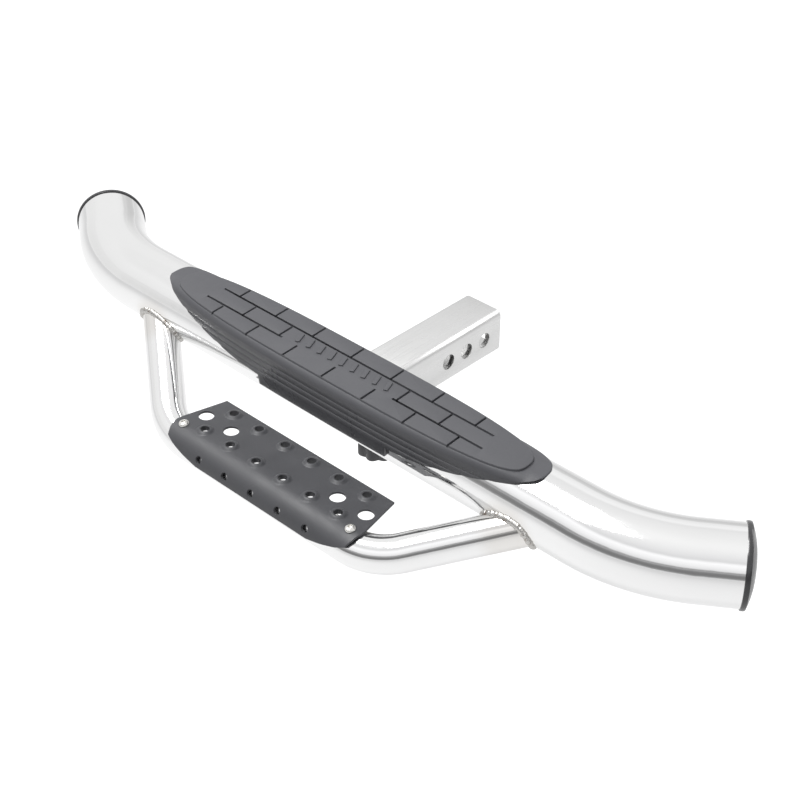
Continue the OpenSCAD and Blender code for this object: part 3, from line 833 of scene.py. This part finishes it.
class STEP_OT_welds(bpy.types.Operator):
    """Model the weld beads of the arms and of the shank"""
    bl_idname = "hitch_step.welds"
    bl_label = "Weld beads"

    def execute(self, context):
        tubes = context.scene.step_tubes
        fin = material("Weld metal", weld_metal)
        for side, node in ((-1, "weld_left"), (1, "weld_right")):
            seam = []
            for k in range(181):
                spot, skin, out = arm_seam(tubes, side, side * k * math.pi / 90)
                away = (skin + out).normalized()
                seam.append((spot + away * WELD_LIFT, away))
            obj = bead_row(node + "_bead", stations_on(seam, 84), tubes.bead)
            finish_piece(obj, fin, "weld", "step", node)
        wall = square_loop(tubes.shank_w, tubes.shank_corner, 0)
        over = wall[:len(wall) // 2]
        flank = [Vector((tubes.shank_w / 2, 0, -0.0172 + k * 0.0018)) for k in range(20)]
        path = flank + over + [Vector((-p.x, 0, p.z)) for p in reversed(flank)]
        inner = tubes.shank_w / 2 - tubes.shank_corner
        seam = []
        for p in path:
            high = p.z - tubes.tube_rise
            skin = Vector((0, math.sqrt((tubes.tube_d / 2) ** 2 - high ** 2), high))
            core = Vector((max(-inner, min(inner, p.x)), 0, min(inner, p.z)))
            away = (skin.normalized() + (p - core).normalized()).normalized()
            spot = Vector((p.x, -tubes.reach + skin.y, p.z))
            seam.append((spot + away * WELD_LIFT, away))
        obj = bead_row("weld_shank_bead", stations_on(seam, 56), tubes.bead)
        finish_piece(obj, fin, "weld", "step", "weld_shank")
        return {"FINISHED"}


# Step plate

def roll_radius(tubes, plate):
    """Radius of the plate's outer face where it rolls around the bar."""
    return tubes.step_d / 2 + plate.flange_t + plate.plate_t


def on_plate(tubes, plate, x, s, n):
    """From the flat sheet to its place: s runs back from the roll's start, n is the height."""
    radius = roll_radius(tubes, plate)
    if s >= 0:
        y, z = s, radius + n
    else:
        turn = -s / radius
        y, z = -(radius + n) * math.sin(turn), (radius + n) * math.cos(turn)
    c, t = math.cos(plate.fall), math.sin(plate.fall)
    bar_y, bar_z = bar_place(tubes)
    return Vector((x, bar_y + y * c + z * t, bar_z - y * t + z * c))


def plate_edge(tubes, plate, s):
    """Half length of the plate at a place s of the flat sheet."""
    spot = on_plate(tubes, plate, 0, s, 0)
    bar_y, bar_z = bar_place(tubes)
    y, z = spot.y - bar_y, spot.z - bar_z
    radius = roll_radius(tubes, plate)
    plan = blend_value([
        (-radius - 0.001, plate.front_half - 0.008), (-radius / 2, plate.front_half - 0.002),
        (0, plate.front_half), (0.008, plate.front_half - 0.001), (plate.depth, plate.back_half)], y)
    view = blend_value([
        (0, plate.lip_half), (0.002, plate.lip_half + 0.009), (0.005, plate.lip_half + 0.0225),
        (0.010, plate.front_half - 0.016), (0.015, plate.front_half - 0.004),
        (0.019, plate.front_half + 0.001)], z)
    return min(plan, view)


def outline(name, spots):
    """A closed line of edges through the spots."""
    obj = circle(name, 0.01, len(spots))
    edit_all(obj)
    put(obj, spots)
    leave()
    return obj


def ring_on(x, s, radius, count=48):
    """A ring of spots on the flat sheet."""
    return [spot + Vector((x, s, 0)) for spot in turned(radius, 0, count)]


def plate_outline(tubes, plate, low):
    """The sheet's edge while it is flat, from the lip's right end on."""
    rows = 96
    right = []
    for k in range(rows + 1):
        s = low + (plate.depth - low) * k / rows
        right.append(Vector((plate_edge(tubes, plate, s), s, 0)))
    return right + [Vector((-p.x, p.y, 0)) for p in reversed(right)]


def inset(edge, width):
    """A closed line inside another one."""
    inner = []
    for k, p in enumerate(edge):
        fore = (edge[(k + 1) % len(edge)] - p).normalized()
        aft = (p - edge[k - 1]).normalized()
        side = Vector((-fore.y - aft.y, fore.x + aft.x, 0)).normalized()
        inner.append(p + side * width / max(0.5, side.dot(Vector((-fore.y, fore.x, 0)))))
    return inner


def dimple_rings(plate, x, s):
    """The rings of a raised hole, from its foot up to the hole."""
    foot, hole = plate.dimple_d / 2, plate.grip_hole_d / 2
    rings = []
    for k in range(13):
        r = foot - (foot - hole) * k / 12
        part = max(0, min(1, (foot - r) / (foot - hole - 0.0009)))
        lift = Vector((0, 0, plate.dimple_h * part * part * (3 - 2 * part)))
        rings.append([spot + lift for spot in ring_on(x, s, r)])
    return rings


class STEP_OT_plate(bpy.types.Operator):
    """Model the punched step plate with its raised holes and rolled lip"""
    bl_idname = "hitch_step.plate"
    bl_label = "Step plate"

    def collar(self, tubes, plate, x, s):
        inner = plate.grip_hole_d / 2 - 0.00005
        outer = inner + 0.0009
        depth = plate.front_collar if s < plate.drain_row else plate.back_collar
        top, low = plate.dimple_h - 0.0002, -depth
        profile = [(inner, low), (inner, top - 0.0001), (inner + 0.0001, top), (outer, top), (outer, low)]
        rings = [[on_plate(tubes, plate, v.x, v.y, n) for v in ring_on(x, s, r)] for r, n in profile]
        ring = loft("collar", rings + rings[:1], closed=False)
        make_outward(ring)
        return ring

    def execute(self, context):
        tubes, plate = context.scene.step_tubes, context.scene.step_plate
        radius = roll_radius(tubes, plate)
        low = -radius * plate.roll
        edge = plate_outline(tubes, plate, low)
        rim = 0.0007
        inner = inset(edge, rim)
        obj = outline("step_plate_skin", inner)
        strips = [loft("rim", [edge, inner], closed=False)]
        half_row = plate.grip_pitch / 2
        grips = [(k * half_row, row) for k in (-5, -3, -1, 1, 3, 5)
                 for row in (plate.front_row, plate.back_row)]
        holes = [(k * plate.grip_pitch, plate.drain_row, plate.drain_d / 2) for k in (-3, -2, 2, 3)]
        lip_s = -radius * (math.pi / 2 - plate.lip_hole_angle + plate.fall)
        holes += [(k * plate.grip_pitch, lip_s, plate.lip_hole_d / 2) for k in (-2, -1, 0, 1, 2)]
        screw_s = -radius * (plate.screw_lean + plate.fall)
        holes += [(side * plate.screw_x, screw_s, plate.screw_d / 2 + 0.0003) for side in (-1, 1)]
        loops = [outline("foot", ring_on(x, s, plate.dimple_d / 2)) for x, s in grips]
        for x, s, r in holes:
            loops.append(outline("hole", ring_on(x, s, r + rim)))
            strips.append(loft("rim", [ring_on(x, s, r), ring_on(x, s, r + rim)], closed=False))
        join(obj, loops)
        edit_all(obj, "EDGE")
        bpy.ops.mesh.fill(use_beauty=True)
        leave()
        strips += [loft("dimple", dimple_rings(plate, x, s), closed=False) for x, s in grips]
        join(obj, strips)
        edit_all(obj)
        bpy.ops.mesh.remove_doubles(threshold=2e-5)
        bpy.ops.mesh.normals_make_consistent(inside=False)
        steps = 26
        for k in range(steps):
            bpy.ops.mesh.select_all(action="SELECT")
            bpy.ops.mesh.bisect(plane_co=(0, low * k / steps, 0), plane_no=(0, 1, 0))
        bpy.ops.mesh.select_all(action="SELECT")
        bpy.ops.mesh.remove_doubles(threshold=0.00016)
        bpy.ops.mesh.dissolve_degenerate(threshold=0.00005)
        leave()
        up = sum(f.normal.z * f.area for f in obj.data.polygons)
        if up < 0:
            obj.data.flip_normals()
        for v in obj.data.vertices:
            v.co = on_plate(tubes, plate, *v.co)
        use(obj, "SOLIDIFY", thickness=plate.plate_t, offset=-1, use_quality_normals=True)
        soften(obj, 0.0004, 2, 60)
        join(obj, [self.collar(tubes, plate, x, s) for x, s in grips])
        shade(obj, 40)
        fin = material("Plate coat", plate_coat)
        finish_piece(obj, fin, "plate_coat", "step", "step_plate")
        return {"FINISHED"}


class STEP_OT_screws(bpy.types.Operator):
    """Model the button head screws of the plate"""
    bl_idname = "hitch_step.screws"
    bl_label = "Plate screws"

    def execute(self, context):
        tubes, plate = context.scene.step_tubes, context.scene.step_plate
        bar_y, bar_z = bar_place(tubes)
        head = roll_radius(tubes, plate) + 0.00005
        profile = [(plate.screw_d / 2 - 0.0008, head - plate.screw_len),
                   (plate.screw_d / 2, head - plate.screw_len + 0.0008),
                   (plate.screw_d / 2, head), (plate.head_d / 2 - 0.0002, head),
                   (plate.head_d / 2, head + 0.0002)]
        for k in range(1, 12):
            turn = math.pi / 2 * k / 12
            r = 0.0021 + (plate.head_d / 2 - 0.0021) * math.cos(turn)
            profile.append((r, head + 0.0002 + (plate.head_h - 0.0002) * math.sin(turn)))
        profile.append((0.002, head + plate.head_h))
        obj = lathe("screw", profile, 64)
        combine(obj, rod("socket", 0.00228, 0.004, 6, (0, 0, head + plate.head_h - 0.0002 + 0.0004)))
        soften(obj, 0.00012, 2, 50)
        fin = zinc_finish()
        for side, node in ((-1, "plate_screw_left"), (1, "plate_screw_right")):
            place = Matrix.Translation((side * plate.screw_x, bar_y, bar_z))
            lean = Matrix.Rotation(plate.screw_lean, 4, "X") @ Matrix.Rotation(0.3 * side, 4, "Z")
            piece = copy_of(obj, node + "_turned", place @ lean)
            shade(piece, 35)
            finish_piece(piece, fin, "fastener", "step", node)
        bpy.data.objects.remove(obj)
        return {"FINISHED"}


# End caps

class STEP_OT_caps(bpy.types.Operator):
    """Model the domed caps in the main tube's ends"""
    bl_idname = "hitch_step.caps"
    bl_label = "End caps"

    def execute(self, context):
        tubes, caps = context.scene.step_tubes, context.scene.step_caps
        bore = tubes.tube_d / 2 - tubes.tube_wall - 0.0008
        rim = tubes.tube_d / 2 + caps.rim
        profile = [(bore - 0.0025, -caps.skirt), (bore - 0.0005, -caps.skirt), (bore, -caps.skirt + 0.001)]
        for k in range(3):
            low = -caps.skirt + 0.003 + k * (caps.skirt - 0.005) / 3
            profile += [(bore, low), (bore + 0.0006, low + 0.001), (bore, low + 0.0025)]
        profile += [(bore, 0.00005), (rim - 0.0009, 0.00005), (rim - 0.0003, 0.0003), (rim, 0.001),
                    (rim, caps.rim_t - 0.0018), (rim - 0.0002, caps.rim_t - 0.0008),
                    (rim - 0.0006, caps.rim_t - 0.0001)]
        for k in range(1, 22):
            part = 1 - k / 22
            profile.append(((rim - 0.0009) * part, caps.rim_t + caps.dome * (1 - part ** 2.4)))
        profile.append((0.0004, caps.rim_t + caps.dome))
        obj = lathe("cap", profile, 128)
        fin = plastic_finish("Cap plastic", 0.26)
        for side, node in ((-1, "end_cap_left"), (1, "end_cap_right")):
            mirror = Matrix.Scale(-1, 4, (1, 0, 0)) if side < 0 else Matrix.Identity(4)
            place = (Matrix.Translation((0, -tubes.reach, tubes.tube_rise)) @ mirror
                     @ Matrix.Translation((tubes.tube_half, tubes.tube_bend_r, 0))
                     @ Matrix.Rotation(tubes.tube_bend - math.pi / 2, 4, "Z")
                     @ Matrix.Translation((tubes.tube_bend_r, tubes.tube_tail, 0))
                     @ Matrix.Rotation(-math.pi / 2, 4, "X"))
            piece = copy_of(obj, node + "_moulded", place)
            shade(piece, 30)
            finish_piece(piece, fin, "cap_plastic", "step", node)
        bpy.data.objects.remove(obj)
        return {"FINISHED"}


# Tread pad

OVAL_MIDDLE = -0.0085
LEVEL_Y = 0.0085
TREAD_RIM = 0.0024
RIB_TOPS = (0.008, 0.015, 0.022, 0.029)
RIB_WALL = (
    (0.0063, 0.0008), (0.0052, 0.0008), (0.0045, 0.0001), (0.0041, 0), (0.0004, 0), (0, 0.0001))
FRONT_FALL = ((0, 1), (0.2, 0.667), (0.41, 0.362), (0.7, 0.116), (0.9, 0.015), (1, 0))
BACK_FALL = ((0, 1), (0.27, 0.667), (0.45, 0.404), (0.64, 0.175), (0.85, 0.035), (1, 0))
BAR_SIZE = (0.0046, 0.0135, 0.0026)
BAR_TURN = math.radians(20)


def oval(half, back, back_n, front, front_n, count):
    """A superellipse with even spots, from its +X end on."""
    dense = []
    for k in range(1441):
        turn = 2 * math.pi * k / 1440
        s, c = math.sin(turn), math.cos(turn)
        n = back_n if s >= 0 else front_n
        h = back - OVAL_MIDDLE if s >= 0 else front + OVAL_MIDDLE
        dense.append(Vector((
            half * math.copysign(abs(c) ** (2 / n), c),
            OVAL_MIDDLE + math.copysign(h * abs(s) ** (2 / n), s), 0)))
    return [dense[k].lerp(dense[k + 1], part) for k, part in even_places(dense, count)]


def tread_height(tubes, pad, y):
    """Height of the tread's plane over the tube's axis. At LEVEL_Y the pad is pad_t thick."""
    return tubes.tube_d / 2 + pad.pad_t + (y - LEVEL_Y) * math.tan(pad.slope)


def skirt_edge(pad, x):
    """Lower edge of the skirt at a place along the pad."""
    x = abs(x)
    if x < pad.flap_half:
        return -pad.flap_low
    part = (x - pad.flap_half) / (pad.pad_half - pad.flap_half)
    return pad.skirt_low + pad.skirt_rise * part ** 1.6


def pad_shell(tubes, pad):
    """The pad before it is cut: rings from the skirt's foot up to the tread."""
    count = 300
    outer = oval(pad.pad_half, pad.back + 0.011, 3.1, tubes.tube_d / 2 + pad.skirt_t, 2.6, count)
    tread = oval(pad.tread_half, pad.back, 3.2, pad.front, 3.1, count)
    ways = []
    for k in range(count):
        along = outer[(k + 1) % count] - outer[k - 1]
        ways.append(Vector((along.y, -along.x, 0)).normalized())
    loops = []

    def wall(z, inward):
        loops.append([p - w * inward + Vector((0, 0, z)) for p, w in zip(outer, ways)])

    wall(-0.014, 0.0016)
    wall(-0.0095, 0.0016)
    wall(0.0008, 0.0008)
    for top in RIB_TOPS:
        for drop, inward in RIB_WALL:
            wall(top - drop, inward)
    rise = tubes.tube_d / 2 + pad.gap + TREAD_RIM
    for part in (0, 0.05, 0.12, 0.22, 0.34, 0.5, 0.66, 0.8, 0.9, 0.96, 0.99):
        loop = []
        for p, q, w in zip(outer, tread, ways):
            spot = p.lerp(q, part)
            share = (1 + w.y) / 2
            deep = 0.0085 + 0.0045 * share
            fall = (1 - share) * blend_value(FRONT_FALL, part) + share * blend_value(BACK_FALL, part)
            over = math.sqrt(max(0, rise ** 2 - spot.y ** 2))
            flat = tread_height(tubes, pad, spot.y) - TREAD_RIM
            edge = 0.0007 * max(0, 1 - part / 0.05) ** 2
            spot.z = min(flat, max(flat - fall * (deep - TREAD_RIM), over)) - edge
            loop.append(spot)
        loops.append(loop)
    for inward, drop in ((0, 0.0022), (0.0002, 0.0006), (0.0006, 0.00015), (0.0012, 0)):
        loop = []
        for k, q in enumerate(tread):
            spot = q - ways[k] * inward
            spot.z = tread_height(tubes, pad, spot.y) - drop
            loop.append(spot)
        loops.append(loop)
    shell = loft("tread_pad_moulding", loops)
    make_outward(shell)
    return shell


def pad_trimmer(pad, lowest, y_from, y_to):
    """A block under the skirt's lower edge."""
    tops = [Vector((x / 40 * (pad.pad_half + 0.002), 0, 0)) for x in range(-40, 41)]
    spots = [Vector((p.x, y_from, max(lowest, skirt_edge(pad, p.x)))) for p in tops]
    for at in (pad.flap_half, -pad.flap_half):
        spots = [p for p in spots if abs(p.x - at) > 0.0005]
        for x in (at - 0.0004, at + 0.0004):
            spots.append(Vector((x, y_from, max(lowest, skirt_edge(pad, x)))))
    spots.sort(key=lambda p: p.x)
    loop = spots + [Vector((pad.pad_half + 0.002, y_from, -0.03)),
                    Vector((-pad.pad_half - 0.002, y_from, -0.03))]
    other = [Vector((p.x, y_to, p.z)) for p in loop]
    piece = loft("trimmer", [loop, other])
    make_outward(piece)
    return piece


class STEP_OT_pad(bpy.types.Operator):
    """Model the moulded tread pad"""
    bl_idname = "hitch_step.pad"
    bl_label = "Tread pad"

    def execute(self, context):
        tubes, pad = context.scene.step_tubes, context.scene.step_pad
        obj = pad_shell(tubes, pad)
        cutters = []

        def groove(x, y, long, wide, shy=0.0):
            z = tread_height(tubes, pad, y) - pad.groove_t + 0.003 + shy
            cutters.append(block("groove", (long, wide, 0.006), (x, y, z), (pad.slope, 0, 0)))

        back_line = -pad.front + 2 * pad.course
        front_line = -pad.front + pad.course
        end_field = pad.tread_half - pad.badge_half - 0.046
        groove(0, back_line, 2 * (pad.tread_half - 0.050), pad.groove_w)
        for side in (-1, 1):
            groove(side * (pad.badge_half + end_field / 2), front_line, end_field, pad.groove_w)
        for k in range(-3, 4):
            back_y = pad.back + 0.004
            groove(k * pad.brick, (back_line + back_y) / 2, pad.groove_w, back_y - back_line, 0.00006)
            groove(k * pad.brick, (front_line - pad.front + 0.0006) / 2, pad.groove_w,
                   pad.course - 0.0008, 0.00012)
        for k in (-2.5, -1.5, 1.5, 2.5):
            groove(k * pad.brick, (front_line + back_line) / 2, pad.groove_w, pad.course, 0.00018)
        for cutter in cutters:
            combine(obj, cutter)
        combine(obj, rod("under", tubes.tube_d / 2 + pad.gap, 3 * pad.pad_half, 256,
                         (0, 0, 0), (0, math.pi / 2, 0)))
        combine(obj, pad_trimmer(pad, -0.03, -0.07, 0.0001))
        combine(obj, pad_trimmer(pad, 0.024, 0, 0.07))
        soften(obj, 0.0002, 2, 55)
        bars = []
        spacing = 2 * pad.badge_half / (pad.bar_count + 1)
        middle_y = -pad.front + 1.5 * pad.course
        for k in range(pad.bar_count):
            x = (k - (pad.bar_count - 1) / 2) * spacing
            z = tread_height(tubes, pad, middle_y) + 0.0002
            bar = block("bar", BAR_SIZE, (x, middle_y, z), (pad.slope, 0, BAR_TURN))
            soften(bar, 0.0005, 3, 50)
            bars.append(bar)
        join(obj, bars)
        obj.location = (pad.pad_x, -tubes.reach, tubes.tube_rise)
        fix_place(obj)
        shade(obj, 28)
        finish_piece(obj, material("Pad rubber", pad_rubber), "pad_rubber", "step", "tread_pad")
        return {"FINISHED"}


# Tightener

KNOB_SPOTS = 192
THREAD_SPOTS = 48
THREAD_RINGS = 8


class STEP_OT_tightener(bpy.types.Operator):
    """Model the knob, its threaded stud and the nut"""
    bl_idname = "hitch_step.tightener"
    bl_label = "Tightener"

    def execute(self, context):
        tubes, tight = context.scene.step_tubes, context.scene.step_tightener
        stud_y = -tubes.reach + tight.stud_back
        valley = 0.86 * tight.knob_r

        def lobed(part, z):
            spots = []
            for k in range(KNOB_SPOTS):
                turn = 2 * math.pi * k / KNOB_SPOTS
                wave = (1 + math.cos(tight.lobes * turn - math.pi)) / 2
                r = valley + (tight.knob_r - valley) * wave ** 0.7
                spots.append(Vector((part * r * math.cos(turn), part * r * math.sin(turn), z)))
            return spots

        low = -tight.knob_low
        top = low + tight.knob_t
        hub = top + tight.hub_h
        hub_r, bore = tight.hub_d / 2, tight.stud_d / 2 + 0.0001
        lower = ((0.0085, low + 0.0012), (0.0095, low + 0.0011), (0.0112, low + 0.0002), (0.0120, low))
        sides = ((0.90, low), (0.95, low + 0.0003), (0.985, low + 0.001), (1, low + 0.0024),
                 (1, top - 0.003), (0.985, top - 0.0013), (0.94, top - 0.0003), (0.88, top))
        upper = ((0.0138, top + 0.0001), (hub_r + 0.0024, top + 0.0006), (hub_r + 0.0018, top + 0.0016),
                 (hub_r + 0.0002, hub - 0.0010), (hub_r - 0.0006, hub - 0.0002),
                 (hub_r - 0.0014, hub), (bore, hub), (bore, low + 0.0045))
        loops = [turned(r, z, KNOB_SPOTS) for r, z in lower]
        loops += [lobed(part, z) for part, z in sides]
        loops += [turned(r, z, KNOB_SPOTS) for r, z in upper]
        knob = loft("tightener_knob_moulded", loops)
        knob.location = (0, stud_y, 0)
        fix_place(knob)
        make_outward(knob)
        shade(knob, 30)
        finish_piece(knob, plastic_finish("Knob plastic", 0.42), "knob_plastic", "screw", "tightener_knob")

        stud_low = low + 0.0041
        stud_top = -tight.foot_t - 0.00005
        rings = int((stud_top - stud_low) / tight.thread_pitch * THREAD_RINGS)
        loops = []
        for n in range(rings + 1):
            z = stud_low + (stud_top - stud_low) * n / rings
            ring = []
            for k in range(THREAD_SPOTS):
                turn = 2 * math.pi * k / THREAD_SPOTS
                wave = (z / tight.thread_pitch - k / THREAD_SPOTS) % 1
                depth = 0.00095 * min(1, max(0, (abs(wave - 0.5) - 0.06) / 0.36))
                depth = max(depth, 0.0011 - min(z - stud_low, stud_top - z))
                r = tight.stud_d / 2 - depth
                ring.append(Vector((r * math.cos(turn), r * math.sin(turn), z)))
            loops.append(ring)
        nose = tight.nose_d / 2
        for r, z in ((nose, stud_top + 0.00002), (nose, -0.0034), (nose - 0.0004, -0.003)):
            loops.append(turned(r, z, THREAD_SPOTS))
        stud = loft("tightener_stud_threaded", loops)
        stud.location = (0, stud_y, 0)
        fix_place(stud)
        make_outward(stud)
        shade(stud, 40)
        finish_piece(stud, zinc_finish(), "fastener", "screw", "tightener_stud")

        under = -tubes.shank_w / 2
        nut = rod("tightener_nut_chamfered", tight.nut_flats / 2 / math.cos(math.pi / 6), tight.nut_h, 6,
                  (0, 0, under - tight.nut_h / 2))
        half = tight.nut_flats / 2
        disc = lathe("disc", [(half * 0.9, under - tight.nut_h), (half * 0.99, under - tight.nut_h),
                              (half * 1.16, under - tight.nut_h + 0.0012), (half * 1.16, under - 0.0012),
                              (half * 0.99, under), (half * 0.9, under)], 96)
        combine(nut, disc, "INTERSECT")
        combine(nut, rod("bore", tight.stud_d / 2 + 0.00005, 0.05, 64, (0, 0, under)))
        nut.location = (0, stud_y, 0)
        fix_place(nut)
        shade(nut, 30)
        finish_piece(nut, zinc_finish(), "fastener", "step", "tightener_nut")
        return {"FINISHED"}


class STEP_OT_hidden(bpy.types.Operator):
    """Finish the pieces that stay as the construction gives them"""
    bl_idname = "hitch_step.hidden"
    bl_label = "Hidden pieces"

    def execute(self, context):
        nodes = frame["nodes"]
        for name in ("insert_left", "insert_right", "tightener_foot"):
            nodes[name].data.materials.clear()
            nodes[name].data.materials.append(zinc_finish())
        clip = plastic_finish("Clip plastic", 0.45)
        for k in range(1, 5):
            data = nodes[f"pad_clip_{k}"].data
            data.materials.clear()
            data.materials.append(clip)
        return {"FINISHED"}


# Stage

CAMERA_PLACE = (0.9408, -1.0662, 0.9413)
CAMERA_AZIMUTH, CAMERA_ELEVATION, CAMERA_ROLL = map(math.radians, (43.50, 35.59, 0.14))
CAMERA_LENS = 72.36
FLOOR_Z = -0.42
LAMPS = (
    ("Key", (-0.75, -0.7, 2.15), (0, -0.2, 0), (1.7, 1.2), 52),
    ("Back", (0.7, 1.9, 1.5), (0, -0.1, 0), (1.8, 1.0), 14),
)

# Brightness that polished steel mirrors, from straight down, 0, over eye height, 0.5, to straight up, 1
STUDIO_BANDS = (
    (0.0, 0.95), (0.495, 0.9), (0.505, 0.34), (0.545, 0.20), (0.60, 0.24), (0.625, 0.46), (0.645, 0.28),
    (0.665, 0.85), (0.72, 1.0), (0.80, 1.15), (0.845, 0.80), (0.885, 0.88), (1.0, 1.05))


def studio_world():
    """White to the camera. What mirrors it sees soft dark bands over the floor, in front and right."""
    world = bpy.data.worlds.new("Studio")
    bpy.context.scene.world = world
    world.use_nodes = True
    tree = world.node_tree
    way = add_node(tree, "SeparateXYZ", {0: add_node(tree, "TexCoord").outputs["Generated"]}).outputs
    height = add_node(tree, "MapRange", {"Value": way["Z"], "From Min": -1, "From Max": 1})
    ramp = add_node(tree, "ValToRGB", {"Fac": height.outputs["Result"]})
    stops = ramp.color_ramp.elements
    for stop, (place, value) in zip(stops, (STUDIO_BANDS[0], STUDIO_BANDS[-1])):
        stop.position = place
        stop.color = (value, value, value, 1)
    for place, value in STUDIO_BANDS[1:-1]:
        stops.new(place).color = (value, value, value * 1.01, 1)
    right = smooth_step(tree, way["X"], -0.74, -0.46, 0.1, 1)
    front = smooth_step(tree, way["Y"], -0.2, 0.4, 1, 0.4)
    share = calculate(tree, "MULTIPLY", right, front)
    room = mix_colours(tree, share, (0.95, 0.95, 0.95), ramp.outputs["Color"])
    rays = add_node(tree, "LightPath").outputs
    light = mix_colours(tree, rays["Is Glossy Ray"], (0.38, 0.38, 0.39), room)
    seen = calculate(tree, "MAXIMUM", rays["Is Camera Ray"], rays["Is Transmission Ray"])
    white = mix_colours(tree, seen, light, (1, 1, 1))
    set_input(tree, tree.nodes["Background"].inputs["Color"], white)


def floor_finish():
    """A pale floor that looks white and keeps the shadow."""
    mat = bpy.data.materials.new("Studio floor")
    mat.use_nodes = True
    tree = mat.node_tree
    shader = tree.nodes["Principled BSDF"]
    for key, value in (("Base Color", (0.4, 0.4, 0.4)), ("Roughness", 0.9), ("Specular IOR Level", 0)):
        set_input(tree, shader.inputs[key], value)
    rays = add_node(tree, "LightPath").outputs
    seen = calculate(tree, "MAXIMUM", rays["Is Camera Ray"], rays["Is Transmission Ray"])
    direct = calculate(tree, "MULTIPLY", seen, 0.85)
    strength = calculate(tree, "MULTIPLY_ADD", rays["Is Glossy Ray"], 0.6, direct)
    glow = add_node(tree, "Emission", {"Color": (1, 1, 1), "Strength": strength})
    both = add_node(tree, "AddShader", {0: shader.outputs[0], 1: glow.outputs[0]})
    set_input(tree, tree.nodes["Material Output"].inputs["Surface"], both.outputs[0])
    return mat


def lamp(name, place, aim, size, power):
    data = bpy.data.lights.new(name, "AREA")
    data.shape = "RECTANGLE"
    data.size, data.size_y = size
    data.energy = power
    obj = bpy.data.objects.new(name, data)
    bpy.context.scene.collection.objects.link(obj)
    obj.location = place
    obj.rotation_euler = (Vector(aim) - Vector(place)).to_track_quat("-Z", "Y").to_euler()


class STEP_OT_stage(bpy.types.Operator):
    """Set up the floor, the light and the camera"""
    bl_idname = "hitch_step.stage"
    bl_label = "Stage"

    def execute(self, context):
        scene = context.scene
        deselect_all()
        bpy.ops.mesh.primitive_plane_add(size=40, location=(0, 0, FLOOR_Z))
        floor = named("studio_floor")
        floor.data.materials.append(floor_finish())
        studio_world()
        for values in LAMPS:
            lamp(*values)
        across = math.cos(CAMERA_ELEVATION)
        back = Vector((across * math.sin(CAMERA_AZIMUTH), -across * math.cos(CAMERA_AZIMUTH),
                       math.sin(CAMERA_ELEVATION)))
        right = Vector((math.cos(CAMERA_AZIMUTH), math.sin(CAMERA_AZIMUTH), 0))
        up = back.cross(right)
        turn = Matrix.Rotation(CAMERA_ROLL, 3, back)
        right, up = turn @ right, turn @ up
        data = bpy.data.cameras.new("Camera")
        data.sensor_fit = "HORIZONTAL"
        data.sensor_width = 36
        data.lens = CAMERA_LENS
        data.clip_end = 60
        camera = bpy.data.objects.new("Camera", data)
        scene.collection.objects.link(camera)
        place = Matrix((right, up, back)).transposed().to_4x4()
        camera.matrix_world = Matrix.Translation(CAMERA_PLACE) @ place
        scene.camera = camera
        scene.view_settings.view_transform = "Standard"
        return {"FINISHED"}


class STEP_PT_panel(bpy.types.Panel):
    """Lists the pieces of the hitch step"""
    bl_idname = "STEP_PT_panel"
    bl_label = "Hitch step"
    bl_space_type = "VIEW_3D"
    bl_region_type = "UI"
    bl_category = "Hitch step"

    def draw(self, context):
        for operator in OPERATORS:
            self.layout.operator(operator.bl_idname)
        for name in GROUPS:
            box = self.layout.box()
            group = getattr(context.scene, name)
            for key in group.__annotations__:
                box.prop(group, key)


GROUPS = {
    "step_tubes": TubeSizes,
    "step_plate": PlateSizes,
    "step_pad": PadSizes,
    "step_tightener": TightenerSizes,
    "step_caps": CapSizes,
    "step_finishes": Finishes,
}

OPERATORS = (
    STEP_OT_main_tube, STEP_OT_step_tube, STEP_OT_shank, STEP_OT_welds, STEP_OT_plate,
    STEP_OT_screws, STEP_OT_caps, STEP_OT_pad, STEP_OT_tightener, STEP_OT_hidden, STEP_OT_stage,
)


def register():
    for name, group in GROUPS.items():
        bpy.utils.register_class(group)
        setattr(bpy.types.Scene, name, bpy.props.PointerProperty(type=group))
    for operator in OPERATORS:
        bpy.utils.register_class(operator)
    bpy.utils.register_class(STEP_PT_panel)


def unregister():
    bpy.utils.unregister_class(STEP_PT_panel)
    for operator in reversed(OPERATORS):
        bpy.utils.unregister_class(operator)
    for name, group in reversed(GROUPS.items()):
        delattr(bpy.types.Scene, name)
        bpy.utils.unregister_class(group)


def main():
    register()
    for operator in OPERATORS:
        section, name = operator.bl_idname.split(".")
        result = getattr(getattr(bpy.ops, section), name)()
        if "FINISHED" not in result:
            raise RuntimeError(f"{operator.bl_label} wasn't finished")


if __name__ == "__main__":
    main()
